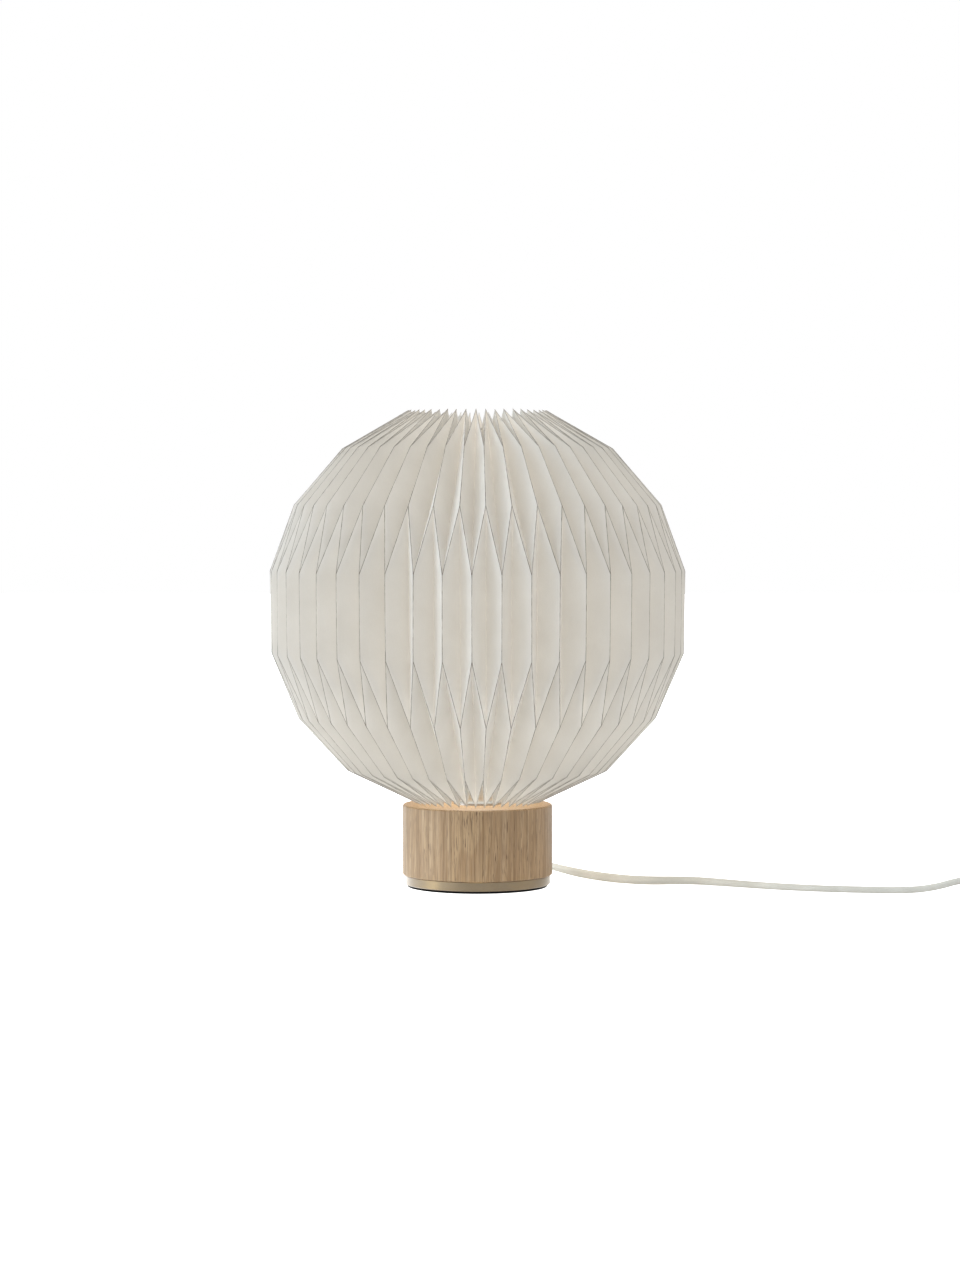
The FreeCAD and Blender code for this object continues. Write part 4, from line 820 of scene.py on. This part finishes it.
def make_paper_finish():
    """Fibrous matt paper that lets half of the light through. The outer folds carry a thin grey line, a
    little uneven and fainter at both necks. A faint painted glow of the paper's own colour stands in for the
    light that bounces between the pleats."""
    material, tree, shader, places = new_finish("pleated_paper", (0.86, 0.845, 0.80), 0.78, specular=0.25)
    layer = tree.nodes.new("ShaderNodeAttribute")
    layer.attribute_name = "to_folds"
    above, below, beside = split_up(tree, layer.outputs["Vector"])
    nearest = math_node(tree, "MINIMUM", above, below)
    nearest = math_node(tree, "MINIMUM", nearest, beside)
    waver = noise_node(tree, places, 260.0, 2.0)
    line_width = math_node(tree, "MULTIPLY_ADD", waver, line_waver, line_least)
    off_line = math_node(tree, "DIVIDE", nearest, line_width)
    crease = spread(tree, off_line, 0.45, 1.0, 1.0, 0.0)
    tone, fibres = add_mottle(tree, places, 55.0, 2100.0, 0.35)
    pulp = noise_node(tree, stretched(tree, places, (1.0, 1.0, 0.35)), 1300.0, 3.0, 0.6)
    paper = blended(tree, spread(tree, tone, 0.3, 0.7), (0.705, 0.688, 0.655), (0.740, 0.725, 0.695))
    paper = blended(tree, spread(tree, pulp, 0.3, 0.75, 0.0, 0.16), paper, (0.65, 0.635, 0.605))
    height = split_up(tree, places)[2]
    low_neck = spread(tree, height, *low_neck_heights, neck_line_share, 1.0)
    high_neck = spread(tree, height, *high_neck_heights, 1.0, neck_line_share)
    # How dark the grey line along each outer fold is drawn: a little uneven, and fainter towards both necks
    fold_line_depth = spread(tree, waver, 0.25, 0.75, 0.65, 0.95)
    fold_line_depth = math_node(tree, "MULTIPLY", fold_line_depth, math_node(tree, "MULTIPLY", low_neck, high_neck))
    paper = blended(tree, math_node(tree, "MULTIPLY", crease, fold_line_depth), paper, (0.118, 0.094, 0.072))
    wire(tree, paper, shader.inputs["Base Color"])
    # Painted glow: the paper gives off its own colour faintly, in place of light bounced between the pleats
    wire(tree, paper, shader.inputs["Emission Color"])
    shader.inputs["Emission Strength"].default_value = painted_bounce_glow
    normal = raise_surface(tree, shader, math_node(tree, "ADD", fibres, pulp), 0.00004, 0.45)
    through = tree.nodes.new("ShaderNodeBsdfTranslucent")
    wire(tree, paper, through.inputs["Color"])
    wire(tree, normal, through.inputs["Normal"])
    both = tree.nodes.new("ShaderNodeMixShader")
    both.inputs[0].default_value = paper_lets_through
    wire(tree, shader.outputs[0], both.inputs[1])
    wire(tree, through.outputs[0], both.inputs[2])
    wire(tree, both.outputs[0], tree.nodes["Material Output"].inputs[0])
    return material


shade_mesh.materials.append(make_paper_finish())
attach(shade, "lamp")
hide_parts("shade_sheet_1", "shade_sheet_2", "shade_sheet_3", "shade_sheet_4")


# ---- Gather threads ----
# White cotton thread of three strands runs through every pleat just inside the top and the bottom of the
# shade, is drawn up and tied off. It keeps both necks at their size.
thread_strands = 3
thread_radius = 0.0004
strand_radius = 0.00021
strand_orbit = 0.00021
strand_sides = 6
thread_turns = 90
thread_steps = 540


def make_thread(name, node):
    """Three strands laid round the ring where the node's thread runs."""
    low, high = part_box(node)
    middle = (low + high) / 2
    ring_radius = (high.x - low.x) / 2 - thread_radius
    strands = []
    for strand in range(thread_strands):
        rings = []
        for step in range(thread_steps):
            round_angle = 2 * math.pi * step / thread_steps
            lay_angle = thread_turns * round_angle + 2 * math.pi * strand / thread_strands
            out_way = Vector((math.cos(round_angle), math.sin(round_angle), 0))
            centre = middle + out_way * (ring_radius + strand_orbit * math.cos(lay_angle))
            centre.z += strand_orbit * math.sin(lay_angle)
            ring = []
            for side in range(strand_sides):
                side_angle = 2 * math.pi * side / strand_sides
                reach = out_way * math.cos(side_angle) + Vector((0, 0, math.sin(side_angle)))
                ring.append(centre + reach * strand_radius)
            rings.append(ring)
        strands.append((rings, True))
    piece = add_tubes(name, strands)
    piece.data.materials.append(thread_finish)
    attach(piece, "lamp")
    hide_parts(node)


thread_finish = make_moulded_finish("cotton_thread", (0.74, 0.71, 0.64), 0.85, 0.00008)
make_thread("top_thread", "top_gather_thread")
make_thread("bottom_thread", "bottom_gather_thread")


# ---- Bulb ----
# A small opal globe bulb: blown glass on a moulded collar, with a nickel-plated screw cap, an insulator
# and a soldered end contact. A white board with rows of yellow chips stands inside.
def make_opal_finish():
    material, tree, shader, places = new_finish("opal_glass", (0.86, 0.86, 0.835), 0.16)
    shader.inputs["Coat Weight"].default_value = 0.4
    shader.inputs["Coat Roughness"].default_value = 0.06
    tone, _ = add_mottle(tree, places, 45.0, 500.0, 0.2)
    tint(tree, shader, tone, 0.3, 0.7, (0.83, 0.83, 0.80), (0.88, 0.88, 0.86))
    wire(tree, spread(tree, tone, 0.3, 0.7, 0.13, 0.22), shader.inputs["Roughness"])
    return material


def make_board_finish():
    """White solder mask with small yellow chips in rows all over."""
    material, tree, shader, places = new_finish("led_board", (0.78, 0.79, 0.77), 0.35)
    cells = tree.nodes.new("ShaderNodeTexVoronoi")
    cells.distance = "CHEBYCHEV"
    cells.inputs["Scale"].default_value = 330.0
    cells.inputs["Randomness"].default_value = 0.0
    wire(tree, places, cells.inputs["Vector"])
    chip = spread(tree, cells.outputs["Distance"], 0.26, 0.32, 1.0, 0.0)
    tone, _ = add_mottle(tree, places, 150.0, 3000.0, 0.4)
    mask = blended(tree, tone, (0.70, 0.71, 0.69), (0.82, 0.83, 0.81))
    wire(tree, blended(tree, chip, mask, (0.75, 0.50, 0.06)), shader.inputs["Base Color"])
    raise_surface(tree, shader, chip, 0.0003, 0.7)
    return material


bulb_plastic_finish = make_moulded_finish("bulb_plastic", (0.78, 0.78, 0.75), 0.32)
put_finish(make_opal_finish(), "bulb_globe")
put_finish(bulb_plastic_finish, "bulb_collar", "bulb_insulator")
put_finish(make_plated_finish("cap_nickel", (0.58, 0.57, 0.54), 0.22), "bulb_screw_cap")
put_finish(make_plated_finish("solder", (0.50, 0.50, 0.50), 0.45), "bulb_contact")
put_finish(make_board_finish(), "led_board")


# ---- Inline switch ----
# Two moulded shells screwed together round the flex. A rocker with a shallow dish tilts on a steel axle
# and works a brass bridge between two terminals. It rests here in its off place.
housing_finish = make_moulded_finish("switch_plastic", (0.56, 0.53, 0.465), 0.34)
put_finish(housing_finish, "switch_housing_lower", "switch_housing_upper", "plug_body")
put_finish(make_moulded_finish("rocker_plastic", (0.63, 0.60, 0.535), 0.26, 0.00002), "switch_rocker")


# ---- Plug ----
# A two-pin moulded plug on the flex's end, with a ribbed strain relief in one piece with it and round
# nickel-plated pins in black sleeves.
put_finish(make_plated_finish("pin_nickel", (0.62, 0.60, 0.56), 0.20), "plug_pins")
put_finish(make_moulded_finish("pin_sleeve", (0.014, 0.014, 0.014), 0.40, 0.00001), "plug_pin_sleeves")


# ---- Tie ----
# A strip of black hook-and-loop band, wrapped once round the coil's turns and lapped over its own start,
# where it is pressed shut.
tie_low, tie_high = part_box("cord_tie")
tie_middle = (tie_low + tie_high) / 2
tie_away = (tie_middle - coil_centre).to_2d().normalized()
tie_out = Vector((tie_away.x, tie_away.y, 0))
tie_along = Vector((-tie_away.y, tie_away.x, 0))
tie_width = 0.010
tie_thickness = 0.0009
tie_inner = 0.0183
tie_outer = 0.0417
tie_bottom = 0.0010
tie_top = 0.0117
tie_corner = 0.0032
tie_corner_steps = 8
tie_across = (-0.5, -0.46, -0.25, 0.0, 0.25, 0.46, 0.5)
tie_lap_lift = 1.05
tie_lap_from = 11
tie_lap_to = 26
tie_tab_widths = (0.55, 0.82, 0.95)
tie_edge_height = 0.75
tie_edge_lift = 0.25
tie_edge_angle = math.radians(40)


def tie_outline(grow):
    """The band's line in the plane across the coil, as (out, up) places, round the corners."""
    corners = [
        (tie_outer, tie_bottom, -90),
        (tie_outer, tie_top, 0),
        (tie_inner, tie_top, 90),
        (tie_inner, tie_bottom, 180),
    ]
    places = []
    for out, up, first in corners:
        side = 1 if out == tie_outer else -1
        lift = 1 if up == tie_top else -1
        for step in range(tie_corner_steps + 1):
            angle = math.radians(first + 90 * step / tie_corner_steps)
            centre_out = out - side * tie_corner
            centre_up = up - lift * tie_corner
            reach = tie_corner + grow
            places.append((centre_out + reach * math.cos(angle), centre_up + reach * math.sin(angle)))
    return places


def band_rings(line, closed):
    """A ring of corners round the band at each place on its line. An open line narrows to a rounded tab."""
    rings = []
    for index, (out, up) in enumerate(line):
        before = line[index - 1] if closed or index else line[index]
        after = line[(index + 1) % len(line)] if closed or index < len(line) - 1 else line[index]
        way = Vector((after[0] - before[0], after[1] - before[1])).normalized()
        normal = Vector((way.y, -way.x))
        left_to_end = len(line) - 1 - index
        tapers = not closed and left_to_end < len(tie_tab_widths)
        width = tie_width * (tie_tab_widths[left_to_end] if tapers else 1.0)
        ring = []
        for level, steps in ((0.0, tie_across), (1.0, tie_across[::-1])):
            for across in steps:
                edge = tie_edge_height if abs(across) == 0.5 else 1.0
                rise = tie_thickness * (level * edge + (1 - edge) * tie_edge_lift)
                flat = Vector((out, up)) + normal * rise
                place = coil_centre + tie_out * flat.x + tie_along * (across * width)
                ring.append(Vector((place.x, place.y, flat.y)))
        rings.append(ring)
    return rings


def make_band_finish():
    """Black loop pile, with lighter fuzz where it catches."""
    material, tree, shader, places = new_finish("hook_and_loop", (0.016, 0.016, 0.017), 0.92, specular=0.2)
    tone, pile = add_mottle(tree, places, 300.0, 3600.0, 0.75)
    tint(tree, shader, tone, 0.4, 0.75, (0.010, 0.010, 0.011), (0.052, 0.052, 0.055))
    raise_surface(tree, shader, pile, 0.0004, 0.9)
    return material


# One loop of the band, and a lap over its top from the outer corner to the inner one
lap = tie_outline(tie_thickness * tie_lap_lift)[tie_lap_from:tie_lap_to]
tie = add_tubes("coil_tie", [(band_rings(tie_outline(0.0), True), True), (band_rings(lap, False), False)])
tie.data.set_sharp_from_angle(angle=tie_edge_angle)
tie.data.materials.append(make_band_finish())
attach(tie, "lamp")
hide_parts("cord_tie")


# ---- Floor, light and air ----
# A white floor and a pale sky, brighter to the left and behind. A cool window and a low strip stand on the
# left, a screen in front and a warm window on the right. The camera sees floor and sky as plain white, and
# gloss and glass see them white to the left and dimmer to the right.
bright_way = (-0.87, 0.50, 0.0)
sky_edge = 0.16
sky_strengths = (0.34, 0.64)
seen_sky_edge = 0.10
seen_sky_strengths = (0.45, 1.0)
floor_edge = 0.03
floor_strengths = (0.12, 0.80)
floor_half = 6.0
floor_drop = 0.0001


def show_white(tree, plain, white):
    """A shader that is plain to diffuse light and white to the camera, gloss and glass."""
    rays = tree.nodes.new("ShaderNodeLightPath")
    seen = math_node(tree, "MAXIMUM", rays.outputs["Is Camera Ray"], rays.outputs["Is Glossy Ray"])
    seen = math_node(tree, "MAXIMUM", seen, rays.outputs["Is Transmission Ray"])
    mixed = tree.nodes.new("ShaderNodeMixShader")
    wire(tree, seen, mixed.inputs[0])
    wire(tree, plain, mixed.inputs[1])
    wire(tree, white, mixed.inputs[2])
    return mixed.outputs[0]


def brighter_left(tree, places, edge, strengths):
    """A strength that goes from the first to the second towards the bright side, over an edge this soft."""
    node = tree.nodes.new("ShaderNodeVectorMath")
    node.operation = "DOT_PRODUCT"
    wire(tree, places, node.inputs[0])
    node.inputs[1].default_value = bright_way
    return spread(tree, node.outputs["Value"], -edge, edge, *strengths)


def full_to_camera(tree, strength):
    """That strength, but 1 where the camera looks straight at it."""
    camera_ray = tree.nodes.new("ShaderNodeLightPath").outputs["Is Camera Ray"]
    return math_node(tree, "MAXIMUM", strength, camera_ray)


floor_mesh = bpy.data.meshes.new("studio_floor")
floor_corners = [(-1, -1), (1, -1), (1, 1), (-1, 1)]
floor_places = [(x * floor_half, y * floor_half, -floor_drop) for x, y in floor_corners]
floor_mesh.from_pydata(floor_places, [], [(0, 1, 2, 3)])
floor = add_piece("studio_floor", floor_mesh)


def make_floor_finish():
    material, tree, shader, places = new_finish("studio_floor", (0.94, 0.94, 0.94), 0.9, specular=0.0)
    glow = tree.nodes.new("ShaderNodeEmission")
    strength = brighter_left(tree, places, floor_edge, floor_strengths)
    wire(tree, full_to_camera(tree, strength), glow.inputs["Strength"])
    both = tree.nodes.new("ShaderNodeAddShader")
    wire(tree, shader.outputs[0], both.inputs[0])
    wire(tree, glow.outputs[0], both.inputs[1])
    surface = tree.nodes["Material Output"].inputs[0]
    wire(tree, show_white(tree, shader.outputs[0], both.outputs[0]), surface)
    return material


floor_mesh.materials.append(make_floor_finish())


def add_sun(name, azimuth, elevation, strength, colour, spread_angle):
    """A sun that shines from azimuth degrees round to the right of the front, and elevation up."""
    light = bpy.data.lights.new(name, "SUN")
    light.energy = strength
    light.color = colour
    light.angle = math.radians(spread_angle)
    sun = bpy.data.objects.new(name, light)
    sun.rotation_euler = (math.radians(90 - elevation), 0, math.radians(azimuth))
    scene.collection.objects.link(sun)


add_sun("window_left", -84, 36, 1.50, (0.61, 0.80, 1.0), 70)
add_sun("front_screen", 10, 38, 0.43, (1.0, 0.985, 0.95), 130)
add_sun("window_right", 88, 30, 0.52, (1.0, 0.975, 0.94), 60)
add_sun("strip_left", -76, 6, 0.75, (0.93, 0.97, 1.0), 26)

# The paper passes light, so three weak lamps on the shade's axis stand for what falls in all round. They
# cast no shadow, and lift the folds near both necks and the top of the oak
inner_lights = ((0.235, 0.150), (0.145, 0.190), (0.088, 0.118))
inner_colour = (1.0, 0.955, 0.880)
inner_softness = 0.02
for height, power in inner_lights:
    inner_light = bpy.data.lights.new("light_in_shade", "POINT")
    inner_light.energy = power
    inner_light.color = inner_colour
    inner_light.shadow_soft_size = inner_softness
    inner_light.use_shadow = False
    inner = bpy.data.objects.new("light_in_shade", inner_light)
    inner.location = (0, 0, height)
    scene.collection.objects.link(inner)

world = bpy.data.worlds.new("pale_air")
world.use_nodes = True
world_tree = world.node_tree
sky_way = world_tree.nodes.new("ShaderNodeTexCoord").outputs["Generated"]
sky = world_tree.nodes["Background"]
sky.inputs["Color"].default_value = (0.99, 0.995, 1.0, 1.0)
sky_strength = brighter_left(world_tree, sky_way, sky_edge, sky_strengths)
wire(world_tree, sky_strength, sky.inputs["Strength"])
seen_sky = world_tree.nodes.new("ShaderNodeBackground")
seen_sky.inputs["Color"].default_value = (1.0, 1.0, 1.0, 1.0)
seen_strength = brighter_left(world_tree, sky_way, seen_sky_edge, seen_sky_strengths)
wire(world_tree, full_to_camera(world_tree, seen_strength), seen_sky.inputs["Strength"])
world_out = world_tree.nodes["World Output"]
wire(world_tree, show_white(world_tree, sky.outputs[0], seen_sky.outputs[0]), world_out.inputs[0])
scene.world = world
scene.view_settings.view_transform = "Standard"
